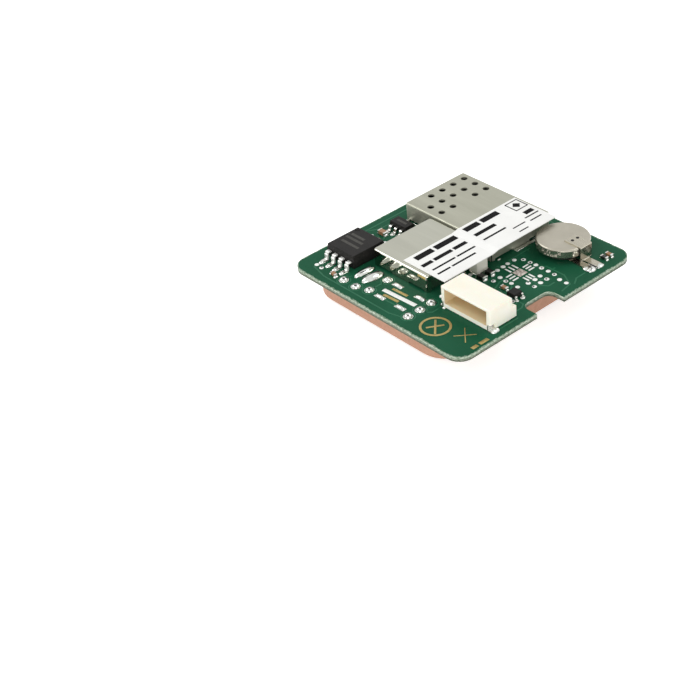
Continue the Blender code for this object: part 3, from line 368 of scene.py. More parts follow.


# moulded nylon: cream and a little waxy; inside the mouth a painted shade, beige and darker towards the back,
# stands in for the shade there
def nylonFinish():
    material, tree, shader, spot = newSurface("mouldedNylon", **nylon["sockets"])
    place = addNode(tree, "SeparateXYZ", [spot])
    front, back = (y * mm for y in nylon["mouthY"])
    low, high = (boardTop + z * mm for z in nylon["mouthZ"])
    aside = addNode(tree, "Math", [place["X"], nylon["mouthX"] * mm], operation="SUBTRACT")[0]
    aside = addNode(tree, "Math", [aside], operation="ABSOLUTE")[0]
    inside = addNode(tree, "Math", [aside, nylon["mouthHalfX"] * mm], operation="LESS_THAN")[0]
    limits = (("Y", "GREATER_THAN", front), ("Y", "LESS_THAN", back),
              ("Z", "GREATER_THAN", low), ("Z", "LESS_THAN", high))
    for axis, side, limit in limits:
        within = addNode(tree, "Math", [place[axis], limit], operation=side)[0]
        inside = addNode(tree, "Math", [inside, within], operation="MULTIPLY")[0]
    patches = addNode(tree, "TexNoise", {"Vector": spot, "Scale": 1 / (nylon["patchMm"] * mm), "Detail": 4})[0]
    patches = addNode(tree, "MapRange", [patches, *noiseSpan, 0, 1])[0]
    first, second = (linear(colour) for colour in nylon["colours"])
    cream = addNode(tree, "Mix", {0: patches, 6: first, 7: second}, data_type="RGBA")[2]
    # painted shade in the mouth: beige, darkening from the front towards the back
    depth = addNode(tree, "MapRange", [place["Y"], front, back, *nylon["mouthShade"]])[0]
    first, second = (linear(colour) for colour in nylon["mouthPaintedShadeColours"])
    paintedMouthShade = addNode(tree, "Mix", {0: depth, 6: first, 7: second}, data_type="RGBA")[2]
    tint = addNode(tree, "Mix", {0: inside, 6: cream, 7: paintedMouthShade}, data_type="RGBA")[2]
    fine = addNode(tree, "TexNoise", {"Vector": spot, "Scale": 1 / (nylon["grainMm"] * mm), "Detail": 2})[0]
    roughness = addNode(tree, "MapRange", [fine, *noiseSpan, *nylon["roughness"]])[0]
    joinSurface(tree, shader, tint, roughness, fine, nylon["depthMm"])
    return material


laminate = {
    "maskAbove": ("175036", "1D593F"), "maskBelow": ("24533B", "2A5C43"), "maskPatchMm": 5.0,
    "halfSideMm": 15.0, "cornerMm": 2.0, "pullbackMm": 0.14, "raggedMm": 0.1, "raggedGrainMm": 0.35,
    "skinMm": 0.03, "rimShare": 0.55, "fibreMm": 0.22, "fibreStretch": (0.6, 0.6, 1.6),
    "fibreSpan": (0.35, 0.65), "fadeMm": (0.15, 0.1),
    # the lower fibre colours are darker: painted shade on the lower part of the sawn edge
    "fibreUpper": ("708A6E", "D6E1D0"), "fibreLowerPaintedShade": ("4A5345", "7A8070"),
    "weaveMm": 0.3, "roughness": (0.28, 0.4), "depthMm": 0.004, "sockets": {"Specular IOR Level": 0.06}}


# glass laminate under green solder mask: the mask stops a little short of the sawn edge, which shows pale glass
# fibre in layers; painted shade makes that edge darker towards its lower side
def laminateFinish():
    material, tree, shader, spot = newSurface("maskedLaminate", **laminate["sockets"])
    height = addNode(tree, "SeparateXYZ", [spot])["Z"]
    middle = (boardLow + boardTop) / 2
    size = 1 / (laminate["maskPatchMm"] * mm)
    patches = addNode(tree, "TexNoise", {"Vector": spot, "Scale": size, "Detail": 4})[0]
    patches = addNode(tree, "MapRange", [patches, *noiseSpan, 0, 1])[0]
    first, second = (linear(colour) for colour in laminate["maskAbove"])
    above = addNode(tree, "Mix", {0: patches, 6: first, 7: second}, data_type="RGBA")[2]
    first, second = (linear(colour) for colour in laminate["maskBelow"])
    below = addNode(tree, "Mix", {0: patches, 6: first, 7: second}, data_type="RGBA")[2]
    isTop = addNode(tree, "Math", [height, middle], operation="GREATER_THAN")[0]
    mask = addNode(tree, "Mix", {0: isTop, 6: below, 7: above}, data_type="RGBA")[2]

    # distance from the sawn outline, as for a square with round corners
    inner = (laminate["halfSideMm"] - laminate["cornerMm"]) * mm
    away = addNode(tree, "VectorMath", [spot], operation="ABSOLUTE")[0]
    away = addNode(tree, "VectorMath", [away, (1, 1, 0)], operation="MULTIPLY")[0]
    away = addNode(tree, "VectorMath", [away, (inner, inner, 0)], operation="SUBTRACT")[0]
    away = addNode(tree, "VectorMath", [away, (0, 0, 0)], operation="MAXIMUM")[0]
    reach = addNode(tree, "VectorMath", [away], operation="LENGTH")["Value"]
    size, swing = 1 / (laminate["raggedGrainMm"] * mm), laminate["raggedMm"] * mm
    ragged = addNode(tree, "TexNoise", {"Vector": spot, "Scale": size, "Detail": 3})[0]
    ragged = addNode(tree, "MapRange", [ragged, *noiseSpan, -swing, swing])[0]
    rim = addNode(tree, "Math", [reach, ragged], operation="ADD")[0]
    rimStart = (laminate["cornerMm"] - laminate["pullbackMm"]) * mm
    rim = addNode(tree, "Math", [rim, rimStart], operation="GREATER_THAN")[0]
    rim = addNode(tree, "Math", [rim, laminate["rimShare"]], operation="MULTIPLY")[0]
    aside = addNode(tree, "Math", [height, middle], operation="SUBTRACT")[0]
    aside = addNode(tree, "Math", [aside], operation="ABSOLUTE")[0]
    skin = (boardTop - boardLow) / 2 - laminate["skinMm"] * mm
    sawn = addNode(tree, "Math", [aside, skin], operation="LESS_THAN")[0]
    edge = addNode(tree, "Math", [sawn, rim], operation="MAXIMUM")[0]

    stretched = addNode(tree, "Mapping", {"Vector": spot, "Scale": laminate["fibreStretch"]})[0]
    size = 1 / (laminate["fibreMm"] * mm)
    fibres = addNode(tree, "TexNoise", {"Vector": stretched, "Scale": size, "Detail": 3})[0]
    fibres = addNode(tree, "MapRange", [fibres, *laminate["fibreSpan"], 0, 1])[0]
    first, second = (linear(colour) for colour in laminate["fibreUpper"])
    upper = addNode(tree, "Mix", {0: fibres, 6: first, 7: second}, data_type="RGBA")[2]
    # painted shade: the sawn edge darkens towards the board's underside
    first, second = (linear(colour) for colour in laminate["fibreLowerPaintedShade"])
    paintedShadeGlass = addNode(tree, "Mix", {0: fibres, 6: first, 7: second}, data_type="RGBA")[2]
    fadeLow, fadeHigh = (fade * mm for fade in laminate["fadeMm"])
    rise = addNode(tree, "MapRange", [height, boardLow + fadeLow, boardTop - fadeHigh, 0, 1])[0]
    glass = addNode(tree, "Mix", {0: rise, 6: paintedShadeGlass, 7: upper}, data_type="RGBA")[2]
    tint = addNode(tree, "Mix", {0: edge, 6: mask, 7: glass}, data_type="RGBA")[2]
    weave = addNode(tree, "TexNoise", {"Vector": spot, "Scale": 1 / (laminate["weaveMm"] * mm), "Detail": 3})[0]
    roughness = addNode(tree, "MapRange", [weave, *noiseSpan, *laminate["roughness"]])[0]
    joinSurface(tree, shader, tint, roughness, weave, laminate["depthMm"])
    return material


cellSteel = {
    "colours": ("B8B3A5", "AFAA9C"), "patchMm": 1.6, "grainMm": 0.15, "depthMm": 0.0005, "metallic": 0.9,
    "bandMm": (0.16, 0.032), "roughness": (0.1, 0.36), "wander": (0.85, 1.1)}


# stainless cell can: tumbled warm grey on its flat, left mirror-bright where the press drew its wall
def cellFinish():
    material, tree, shader, spot = newSurface("tumbledSteel", cellSteel["metallic"])
    size = 1 / (cellSteel["patchMm"] * mm)
    patches = addNode(tree, "TexNoise", {"Vector": spot, "Scale": size, "Detail": 4})[0]
    patches = addNode(tree, "MapRange", [patches, *noiseSpan, 0, 1])[0]
    first, second = (linear(colour) for colour in cellSteel["colours"])
    tint = addNode(tree, "Mix", {0: patches, 6: first, 7: second}, data_type="RGBA")[2]
    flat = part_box("cell_cup")[1].z
    low, high = (flat - band * mm for band in cellSteel["bandMm"])
    height = addNode(tree, "SeparateXYZ", [spot])["Z"]
    tumbled = addNode(tree, "MapRange", [height, low, high, *cellSteel["roughness"]])[0]
    fine = addNode(tree, "TexNoise", {"Vector": spot, "Scale": 1 / (cellSteel["grainMm"] * mm), "Detail": 2})[0]
    wander = addNode(tree, "MapRange", [fine, *noiseSpan, *cellSteel["wander"]])[0]
    roughness = addNode(tree, "Math", [tumbled, wander], operation="MULTIPLY")[0]
    joinSurface(tree, shader, tint, roughness, fine, cellSteel["depthMm"])
    return material


tanBody, blackBody = ("A67C58", "94694A"), ("1F1E1D", "191817")
chipParts = {
    "capMm": 0.22, "raggedMm": 0.03, "raggedGrainMm": 0.2, "grainMm": 0.08,
    "cap": "D2D1CC", "roughness": (0.22, 0.4), "depthMm": 0.003,
    "bodies": {
        "memory_capacitor": tanBody, "lead_capacitor": tanBody, "port_capacitor": tanBody,
        "cell_capacitor": tanBody, "port_resistor": blackBody,
        "bias_resistor": blackBody, "cell_resistor": blackBody, "lamp_resistor": blackBody,
        "lamp_capacitor": blackBody, "lamp_driver": blackBody}}


# chip capacitors and resistors: a coloured body between two tinned ends, found from the node's own box
def chipFinish(node):
    low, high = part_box(node)
    centre, size = (low + high) / 2, high - low
    axis, middle, half = ("X", centre.x, size.x / 2) if size.x > size.y else ("Y", centre.y, size.y / 2)
    material, tree, shader, spot = newSurface("chip" + node.title().replace("_", ""))
    place = addNode(tree, "SeparateXYZ", [spot])[axis]
    grainSize, swing = 1 / (chipParts["raggedGrainMm"] * mm), chipParts["raggedMm"] * mm
    ragged = addNode(tree, "TexNoise", {"Vector": spot, "Scale": grainSize, "Detail": 2})[0]
    ragged = addNode(tree, "MapRange", [ragged, *noiseSpan, -swing, swing])[0]
    out = addNode(tree, "Math", [place, middle], operation="SUBTRACT")[0]
    out = addNode(tree, "Math", [out], operation="ABSOLUTE")[0]
    out = addNode(tree, "Math", [out, ragged], operation="ADD")[0]
    capped = addNode(tree, "Math", [out, half - chipParts["capMm"] * mm], operation="GREATER_THAN")[0]
    fine = addNode(tree, "TexNoise", {"Vector": spot, "Scale": 1 / (chipParts["grainMm"] * mm), "Detail": 2})[0]
    share = addNode(tree, "MapRange", [fine, *noiseSpan, 0, 1])[0]
    first, second = (linear(colour) for colour in chipParts["bodies"][node])
    body = addNode(tree, "Mix", {0: share, 6: first, 7: second}, data_type="RGBA")[2]
    tint = addNode(tree, "Mix", {0: capped, 6: body, 7: linear(chipParts["cap"])}, data_type="RGBA")[2]
    tree.links.new(capped, shader.inputs["Metallic"])
    roughness = addNode(tree, "MapRange", [fine, *noiseSpan, *chipParts["roughness"]])[0]
    joinSurface(tree, shader, tint, roughness, fine, chipParts["depthMm"])
    return material


dress(laminateFinish(), "circuit_board")
dress(firedCeramic, "antenna_ceramic")
dress(firedSilver, "patch_electrode")
dress(foamTape, "adhesive_pad")
dress(reflowedSolder, "feed_solder", "feed_pin", "pin_solder")
dress(rolledTin, "receiver_can")
dress(brightTin, "frontend_can")
dress(labelPaper, "label")
dress(mouldedEpoxy, "receiver_chip", "memory_chip", "regulator_chip", "switch_transistor", "input_amplifier")
dress(packageCeramic, "reference_oscillator", "clock_crystal", "antenna_filter")
dress(tinnedLead, *named("memory_lead", "regulator_lead", "transistor_lead"))
dress(tinnedLead, *named("connector_contact", "connector_anchor"))
dress(nylonFinish(), "connector_housing")
dress(cellFinish(), "cell_cup", "cell_cap")
dress(gasketNylon, "cell_gasket")
dress(nickelStrip, "cell_upper_tab", "cell_lower_tab")
dress(castLens, "signal_lamp")
dress(castCase, "supply_inductor")
for chip in chipParts["bodies"]:
    dress(chipFinish(chip), chip)
print("finishes are on the nodes")


# how a lead or contact leaves its chip: the end of its foot, its direction and its width, in mm
def footOf(lead, chip):
    low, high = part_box(lead)
    chipLow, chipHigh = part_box(chip)
    middle, chipMiddle = (low + high) / 2, (chipLow + chipHigh) / 2
    if chipLow.y < middle.y < chipHigh.y and not chip.startswith("connector"):
        side = 1 if middle.x > chipMiddle.x else -1
        return (high.x if side > 0 else low.x) / mm, middle.y / mm, 90 - 90 * side, (high.y - low.y) / mm
    side = 1 if middle.y > chipMiddle.y or chip.startswith("connector") else -1
    return middle.x / mm, (high.y if side > 0 else low.y) / mm, 90 * side, (high.x - low.x) / mm


def step(x, y, turn, out):
    return x + out * math.cos(math.radians(turn)), y + out * math.sin(math.radians(turn))


# solder under and in front of every foot: a wetted pad, a rounded toe and a smaller heel
leadJoints = {
    "memory_chip": {"leads": "memory_lead", "toe": 0.46, "pad": 1.25, "height": 0.24},
    "regulator_chip": {"leads": "regulator_lead", "toe": 0.26, "pad": 0.8, "height": 0.17},
    "switch_transistor": {"leads": "transistor_lead", "toe": 0.15, "pad": 0.36, "height": 0.12},
    "connector_housing": {"leads": "connector_contact", "toe": 0.3, "pad": 0.9, "height": 0.16}}
wetting = {
    "padOut": 0.6, "padSpare": 0.18, "padThick": 0.07, "padRise": 0.015, "padEdge": 0.03,
    "toeShift": 0.06, "toeTurn": 4, "toeWide": 0.62, "heelBack": 0.55, "heelShare": 0.6, "heelWide": 0.56}
for chip, joint in leadJoints.items():
    bm = bmesh.new()
    for lead in named(joint["leads"]):
        x, y, turn, width = footOf(lead, chip)
        pad = step(x, y, turn, joint["toe"] * wetting["padOut"] - joint["pad"] / 2)
        padSize = (joint["pad"], width + wetting["padSpare"], wetting["padThick"])
        pillow(bm, (*pad, wetting["padRise"]), padSize, wetting["padEdge"], turn, 2)
        toe = step(x, y, turn, draw.uniform(0.0, wetting["toeShift"]))
        toeTurn = turn + draw.uniform(-wetting["toeTurn"], wetting["toeTurn"])
        dome(bm, *toe, joint["toe"], width * wetting["toeWide"], joint["height"], toeTurn)
        heel = step(x, y, turn, -joint["pad"] * wetting["heelBack"])
        heelLong, heelHigh = joint["toe"] * wetting["heelShare"], joint["height"] * wetting["heelShare"]
        dome(bm, *heel, heelLong, width * wetting["heelWide"], heelHigh, turn)
    addPiece("solder_" + joint["leads"], bm, reflowedSolder)

# the memory's leads are tin-dipped: a thicker shank and knee over the sheet
dip = {
    "shankOut": -0.86, "shank": (0.3, 0.64, 0.85), "shankFoot": 0.1, "shankEdge": 0.12,
    "kneeOut": -1.2, "knee": (0.6, 0.64, 0.26), "kneeLevel": 1.08, "kneeEdge": 0.1}
bm = bmesh.new()
for lead in named("memory_lead"):
    x, y, turn, width = footOf(lead, "memory_chip")
    shank, knee = step(x, y, turn, dip["shankOut"]), step(x, y, turn, dip["kneeOut"])
    pillow(bm, (*shank, dip["shankFoot"] + dip["shank"][2] / 2), dip["shank"], dip["shankEdge"], turn)
    pillow(bm, (*knee, dip["kneeLevel"]), dip["knee"], dip["kneeEdge"], turn)
addPiece("solder_dipped_leads", bm, dippedTin)

# rounded solder at both ends of every chip part, above and underneath
chipJoint = {
    "halfLong": 0.2, "wide": 0.52, "highest": 0.3, "heightShare": 0.6, "turns": {"lead_capacitor": -14}}
bm = bmesh.new()
for chip in [*chipParts["bodies"], "supply_inductor"]:
    low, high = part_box(chip)
    x, y = (low.x + high.x) / 2 / mm, (low.y + high.y) / 2 / mm
    sizeX, sizeY, sizeZ = [side / mm for side in high - low]
    turn = chipJoint["turns"].get(chip, 0 if sizeX > sizeY else 90)
    length, width = max(sizeX, sizeY), min(sizeX, sizeY)
    height = min(chipJoint["highest"], chipJoint["heightShare"] * sizeZ)
    face = boardTop if low.z > boardTop else boardLow
    for side in (-1, 1):
        end = step(x, y, turn, side * length / 2)
        dome(bm, *end, chipJoint["halfLong"], width * chipJoint["wide"], height, turn, face)
addPiece("solder_chip_ends", bm, reflowedSolder)

# big joints: the cell's two tabs and the connector's anchors
bigJoints = {
    # x, y, half length, half width, height, turn
    "tabs": [
        (13.35, 9.05, 0.55, 0.72, 0.26, 8), (12.75, 8.75, 0.6, 0.42, 0.2, -15),
        (12.6, 9.6, 0.4, 0.25, 0.18, 10), (13.62, 10.3, 0.42, 0.6, 0.24, 0),
        (13.3, 9.75, 0.25, 0.3, 0.16, 20), (5.5, -8.25, 0.3, 0.5, 0.3, 0), (5.15, -7.75, 0.3, 0.25, 0.2, 0)],
    "anchors": [
        (13.5, -8.25, 0.66, 0.52, 0.3, 0), (13.85, -7.9, 0.32, 0.4, 0.34, 0), (6.1, -8.75, 0.22, 0.2, 0.16, 0)],
    "detail": 18, "leftEar": {"centre": (5.42, -8.4, 1.2), "size": (0.4, 0.56, 0.36), "edge": 0.12}}
bm = bmesh.new()
for joint in bigJoints["tabs"]:
    dome(bm, *joint, detail=bigJoints["detail"])
addPiece("solder_tabs", bm, reflowedSolder)
bm = bmesh.new()
for joint in bigJoints["anchors"]:
    dome(bm, *joint, detail=bigJoints["detail"])
leftEar = bigJoints["leftEar"]
pillow(bm, leftEar["centre"], leftEar["size"], leftEar["edge"])
addPiece("solder_anchors", bm, dippedTin)

# a black sheet close under the receiver's vented roof: painted shade, so the vents look as black as the shaded
# inside of the can
ventShadeSheet = {"centre": (-8.7, 7.4, -0.6), "size": (6.2, 9.4, 0.2), "edge": 0.05}
bm = bmesh.new()
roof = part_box("receiver_can")[1].z
pillow(bm, ventShadeSheet["centre"], ventShadeSheet["size"], ventShadeSheet["edge"], 0, 2, roof)
addPiece("can_vent_painted_shade", bm, foamTape)

# seams of solder at the feet of the two cans
canSeams = {
    "rise": 0.03, "thick": 0.18, "edge": 0.08,
    "seams": [
        # x, y, length along x, length along y
        (3.72, 7.95, 0.62, 4.1), (3.55, 3.15, 0.3, 0.5), (2.55, -3.1, 0.3, 3.0), (-7.25, -3.1, 0.3, 3.0),
        (-12.15, 7.35, 0.3, 3.0), (-8.0, 12.75, 3.0, 0.3), (-1.0, 12.75, 3.0, 0.3), (-9.3, 2.0, 2.6, 0.24)]}
bm = bmesh.new()
for x, y, lengthX, lengthY in canSeams["seams"]:
    pillow(bm, (x, y, canSeams["rise"]), (lengthX, lengthY, canSeams["thick"]), canSeams["edge"])
addPiece("solder_can_feet", bm, reflowedSolder)

# solder on bare pads in front of the plain can: round ones, long ones, and two large strips
roundPads = {
    "places": [(-7.29, -12.86), (-5.13, -12.82), (-3.31, -12.23), (-3.27, -9.24), (4.23, -9.06), (4.31, -11.01),
               (4.25, -12.87)],
    "land": 0.62, "landThick": 0.04, "bead": 0.56, "beadHigh": (0.38, 0.5), "shift": 0.04}
longPads = {
    "places": [(-1.27, -12.33), (-1.45, -9.22), (2.48, -9.28), (2.21, -12.24)],
    "land": (1.62, 0.66, 0.06), "bead": (0.8, 0.32, 0.26), "turn": 2, "edge": 0.03}
padStrips = {
    # x, y, half width, half length, height, turn
    "beads": [(-6.65, -10.0, 0.56, 1.6, 0.5, -4), (-5.0, -10.1, 0.72, 1.65, 0.6, -8)],
    "landShare": (1.2, 1.6), "landThick": 0.06, "edge": 0.03, "detail": 20}
bm = bmesh.new()
for x, y in roundPads["places"]:
    disc(bm, x, y, roundPads["land"], roundPads["landThick"])
    beadX, beadY = (at + draw.uniform(-roundPads["shift"], roundPads["shift"]) for at in (x, y))
    dome(bm, beadX, beadY, roundPads["bead"], roundPads["bead"], draw.uniform(*roundPads["beadHigh"]))
for x, y in longPads["places"]:
    pillow(bm, (x, y, 0), longPads["land"], longPads["edge"], 0, 2)
    dome(bm, x, y, *longPads["bead"], draw.uniform(-longPads["turn"], longPads["turn"]))
for x, y, halfX, halfY, height, turn in padStrips["beads"]:
    shareX, shareY = padStrips["landShare"]
    land = (shareX * halfX, shareY * halfY, padStrips["landThick"])
    pillow(bm, (x, y, 0), land, padStrips["edge"], turn, 2)
    dome(bm, x, y, halfX, halfY, height, turn, detail=padStrips["detail"])
addPiece("solder_pads", bm, reflowedSolder)

# painted shade and painted dark reflection: dark spots on the lower sides of those joints, in the gap between
# the two strips and in the folds of the cell's tabs
paintedShadeSpots = {
    "thick": 0.06, "detail": 12,
    "spots": [
        # x, y, half width, half length, height over the board, turn
        (-7.2, -12.98, 0.24, 0.12, 0.4, 20), (-5.0, -12.98, 0.26, 0.13, 0.38, 35),
        (-3.16, -12.36, 0.22, 0.12, 0.38, 10), (4.36, -9.2, 0.26, 0.14, 0.36, 25),
        (4.44, -11.14, 0.2, 0.12, 0.38, 0), (4.38, -13.02, 0.24, 0.13, 0.36, 30),
        (-6.72, -9.5, 0.09, 0.62, 0.45, -4), (-6.45, -10.4, 0.08, 0.5, 0.43, -10),
        (-5.15, -9.6, 0.1, 0.6, 0.54, -14), (-5.85, -10.0, 0.07, 1.5, 0.02, -6),
        (13.27, 9.58, 0.8, 0.08, 0.22, 1), (13.06, 9.05, 0.38, 0.08, 0.25, -6),
        (13.58, 8.79, 0.3, 0.07, 0.23, -62), (13.38, 8.28, 0.17, 0.06, 0.06, 17)]}
bm = bmesh.new()
for x, y, halfX, halfY, height, turn in paintedShadeSpots["spots"]:
    level = boardTop + height * mm
    dome(bm, x, y, halfX, halfY, paintedShadeSpots["thick"], turn, level, paintedShadeSpots["detail"])
addPiece("painted_shade_spots", bm, paintedShadeBrownBlack)

# tracks under the mask, with a ring round each round pad and a short run from each contact
tracks = {
    "wide": 0.2, "thick": 0.016, "edgeShare": 0.4, "stagger": 0.2, "ring": (0.86, 0.14),
    "contactWide": 0.18, "contactOut": (0.3, 1.7), "contactBend": (0.7, 1.3), "contactAside": 0.35,
    "runs": [
        [(-7.29, -12.1), (-7.3, -11.6)], [(-5.13, -12.1), (-5.4, -11.6)], [(-3.31, -11.4), (-3.27, -10.1)],
        [(-0.4, -12.33), (1.3, -12.24)], [(3.3, -12.3), (4.25, -12.87)], [(4.3, -10.3), (4.25, -9.8)],
        [(-2.6, -9.24), (-2.3, -9.24)], [(3.3, -9.28), (3.6, -9.1)], [(5.0, -11.0), (5.7, -10.3), (5.7, -9.4)],
        [(-12.4, -12.4), (-12.4, -13.3), (-9.9, -13.9), (2.0, -13.9), (5.1, -13.1)],
        [(-13.9, -6.0), (-13.9, 4.0), (-13.2, 5.0), (-13.2, 13.2), (-11.5, 14.0), (3.0, 14.0)],
        [(5.5, 3.3), (4.6, 3.9), (4.6, 7.5)], [(7.9, 4.8), (8.9, 5.9), (11.8, 5.9), (13.6, 4.9), (13.9, 3.2)],
        [(9.6, 3.2), (10.4, 3.3), (11.2, 4.2)], [(9.6, 2.3), (11.2, 2.3), (12.0, 2.9), (12.0, 3.9)],
        [(7.1, 0.8), (7.1, -0.4), (8.0, -2.6)], [(7.75, 0.8), (8.9, -0.2), (9.2, -0.8)],
        [(10.35, -1.9), (12.4, -1.9), (12.8, -2.6), (12.8, -3.6)], [(13.9, -4.5), (13.9, -8.4)],
        [(5.2, 2.2), (4.5, 1.9)], [(9.9, 5.2), (9.9, 6.3)], [(13.3, 7.9), (13.3, 6.4), (13.9, 5.4)],
        [(-13.6, -3.0), (-12.9, -1.8), (-12.9, 0.6)], [(-11.6, -4.2), (-11.6, -3.2)],
        [(-9.2, -4.4), (-8.6, -3.0)]]}


def track(bm, points, wide=tracks["wide"], level=boardTop):
    thick = tracks["thick"]
    for number, ((x1, y1), (x2, y2)) in enumerate(zip(points, points[1:])):
        turn = math.degrees(math.atan2(y2 - y1, x2 - x1))
        high = thick * (1 + tracks["stagger"] * (number % 2))  # two lengths never share a face at a bend
        size = (math.hypot(x2 - x1, y2 - y1) + wide, wide, high)
        centre = ((x1 + x2) / 2, (y1 + y2) / 2, thick / 2)
        pillow(bm, centre, size, thick * tracks["edgeShare"], turn, 1, level)


bm = bmesh.new()
for points in tracks["runs"]:
    track(bm, points)
for x, y in roundPads["places"]:
    ring(bm, x, y, *tracks["ring"], tracks["thick"])
for name in named("connector_contact"):
    x, y, *_ = footOf(name, "connector_housing")
    start, end = (y + out for out in tracks["contactOut"])
    bend = y + draw.uniform(*tracks["contactBend"])
    track(bm, [(x, start), (x, bend), (x - tracks["contactAside"], end)], tracks["contactWide"])
addPiece("tracks_under_mask", bm, maskedCopper)

# vias: small solder-filled rings, most of them round the empty footprint
vias = {
    "places": [
        (5.05, 4.32), (5.81, 5.16), (5.01, 3.19), (5.08, 2.31), (6.86, 5.23), (7.75, 5.28), (8.73, 5.23),
        (5.13, 1.28), (6.47, 0.34), (6.42, -0.76), (9.81, 5.25), (10.85, 5.2), (9.8, 3.8), (9.88, 2.82),
        (9.82, 1.71), (10.83, 2.77), (10.85, 3.84), (12.06, 4.78), (13.14, 4.77), (10.87, 1.67), (8.36, 0.33),
        (7.52, 0.23), (9.45, 0.24), (11.45, -1.0), (11.1, -2.35), (-12.5, -12.8), (-11.5, -12.9), (3.35, -1.6)],
    "radius": (0.28, 0.32), "ringThick": 0.03, "filled": 0.85, "height": (0.06, 0.1),
    "hollow": (0.15, 0.15, 0.13), "hollowShift": 0.08, "hollowEvery": 5, "hollowAt": (1, 4),
    "ringDetail": 18, "fillDetail": 12, "hollowDetail": 10}
bm, holeShades = bmesh.new(), bmesh.new()
for number, (x, y) in enumerate(vias["places"]):
    radius = draw.uniform(*vias["radius"])
    disc(bm, x, y, radius, vias["ringThick"], segments=vias["ringDetail"])
    half, height = vias["filled"] * radius, draw.uniform(*vias["height"])
    dome(bm, x, y, half, half, height, detail=vias["fillDetail"])
    # painted shade: a dark dome stands in for the shade inside an unfilled via's hole
    if number % vias["hollowEvery"] in vias["hollowAt"]:  # some didn't fill, and show a dark hollow
        hollowX, hollowY = (at + draw.uniform(-vias["hollowShift"], vias["hollowShift"]) for at in (x, y))
        dome(holeShades, hollowX, hollowY, *vias["hollow"], detail=vias["hollowDetail"])
addPiece("vias", bm, levelledTinPaintedHighlight)
addPiece("via_hole_painted_shade", holeShades, paintedShadeBrownBlack)

# the empty footprint beside the connector: lands on four sides and a heat pad
footprint = {
    "lands": [
        # start, end, place across, turn
        (5.6, 6.65, 3.3, 0), (5.6, 6.65, 2.7, 0), (5.6, 6.65, 2.1, 0), (8.5, 9.5, 3.2, 0), (8.5, 9.5, 2.7, 0),
        (8.5, 9.5, 2.2, 0), (3.8, 4.75, 6.95, 90), (3.8, 4.75, 7.45, 90), (3.8, 4.75, 7.95, 90),
        (0.85, 1.85, 7.0, 90), (0.85, 1.85, 7.55, 90), (0.85, 1.85, 8.1, 90)],
    "wide": 0.24, "thick": 0.05, "rise": 0.015, "edge": 0.024}
bm = bmesh.new()
for start, end, across, turn in footprint["lands"]:
    middle = (start + end) / 2
    x, y = (middle, across) if turn == 0 else (across, middle)
    size = (end - start, footprint["wide"], footprint["thick"])
    pillow(bm, (x, y, footprint["rise"]), size, footprint["edge"], turn, 2)
addPiece("footprint_lands", bm, levelledTinPaintedHighlight)
heatPad = {
    "centre": (7.48, 2.75, 0.01), "size": (1.34, 1.34, 0.04), "edge": 0.018,
    "beadsX": (7.0, 7.47, 7.94), "beadsY": (2.3, 2.77, 3.24), "bead": (0.16, 0.16, 0.05), "detail": 10}
bm = bmesh.new()
pillow(bm, heatPad["centre"], heatPad["size"], heatPad["edge"], 0, 2)
for y in heatPad["beadsY"]:
    for x in heatPad["beadsX"]:
        dome(bm, x, y, *heatPad["bead"], detail=heatPad["detail"])
addPiece("footprint_heat_pad", bm, dullTin)

# striped test strip: a tinned bar between two gold ones
testStrip = {
    "tinned": ((0.55, -10.83, 0.01), (5.4, 0.62, 0.04), 0.018),
    "gold": [((-0.2, -10.02, 0.01), (2.5, 0.4, 0.035)), ((-0.1, -11.6, 0.01), (2.5, 0.42, 0.035))], "turn": 3}
bm = bmesh.new()
pillow(bm, *testStrip["tinned"], testStrip["turn"], 2)
addPiece("strip_tinned_bar", bm, levelledTinPaintedHighlight)

# bare gold at the corner: a ring round a cross, a thin cross, and two bars at the edge
goldMarks = {
    "ring": (8.07, -12.1, 1.78, 0.3, 0.03), "thick": 0.035, "rise": 0.01, "stagger": 0.002, "edge": 0.016,
    "bars": [
        # x, y, length, width, turn
        (8.1, -12.15, 2.9, 0.26, -45), (8.02, -12.1, 2.2, 0.26, 58), (11.83, -11.0, 2.9, 0.12, -43),
        (11.83, -11.0, 2.7, 0.12, 50), (14.25, -11.87, 0.9, 0.5, 90), (14.25, -10.4, 1.35, 0.5, 90)]}
bm = bmesh.new()
for centre, size in testStrip["gold"]:
    pillow(bm, centre, size, goldMarks["edge"], testStrip["turn"], 2)
ring(bm, *goldMarks["ring"])
for number, (x, y, length, wide, turn) in enumerate(goldMarks["bars"]):
    level = goldMarks["rise"] + goldMarks["stagger"] * number  # so that crossing bars share no face
    pillow(bm, (x, y, level), (length, wide, goldMarks["thick"]), goldMarks["edge"], turn, 2)
addPiece("gold_marks", bm, goldFlash)
print("solder, tracks and marks are on the board")

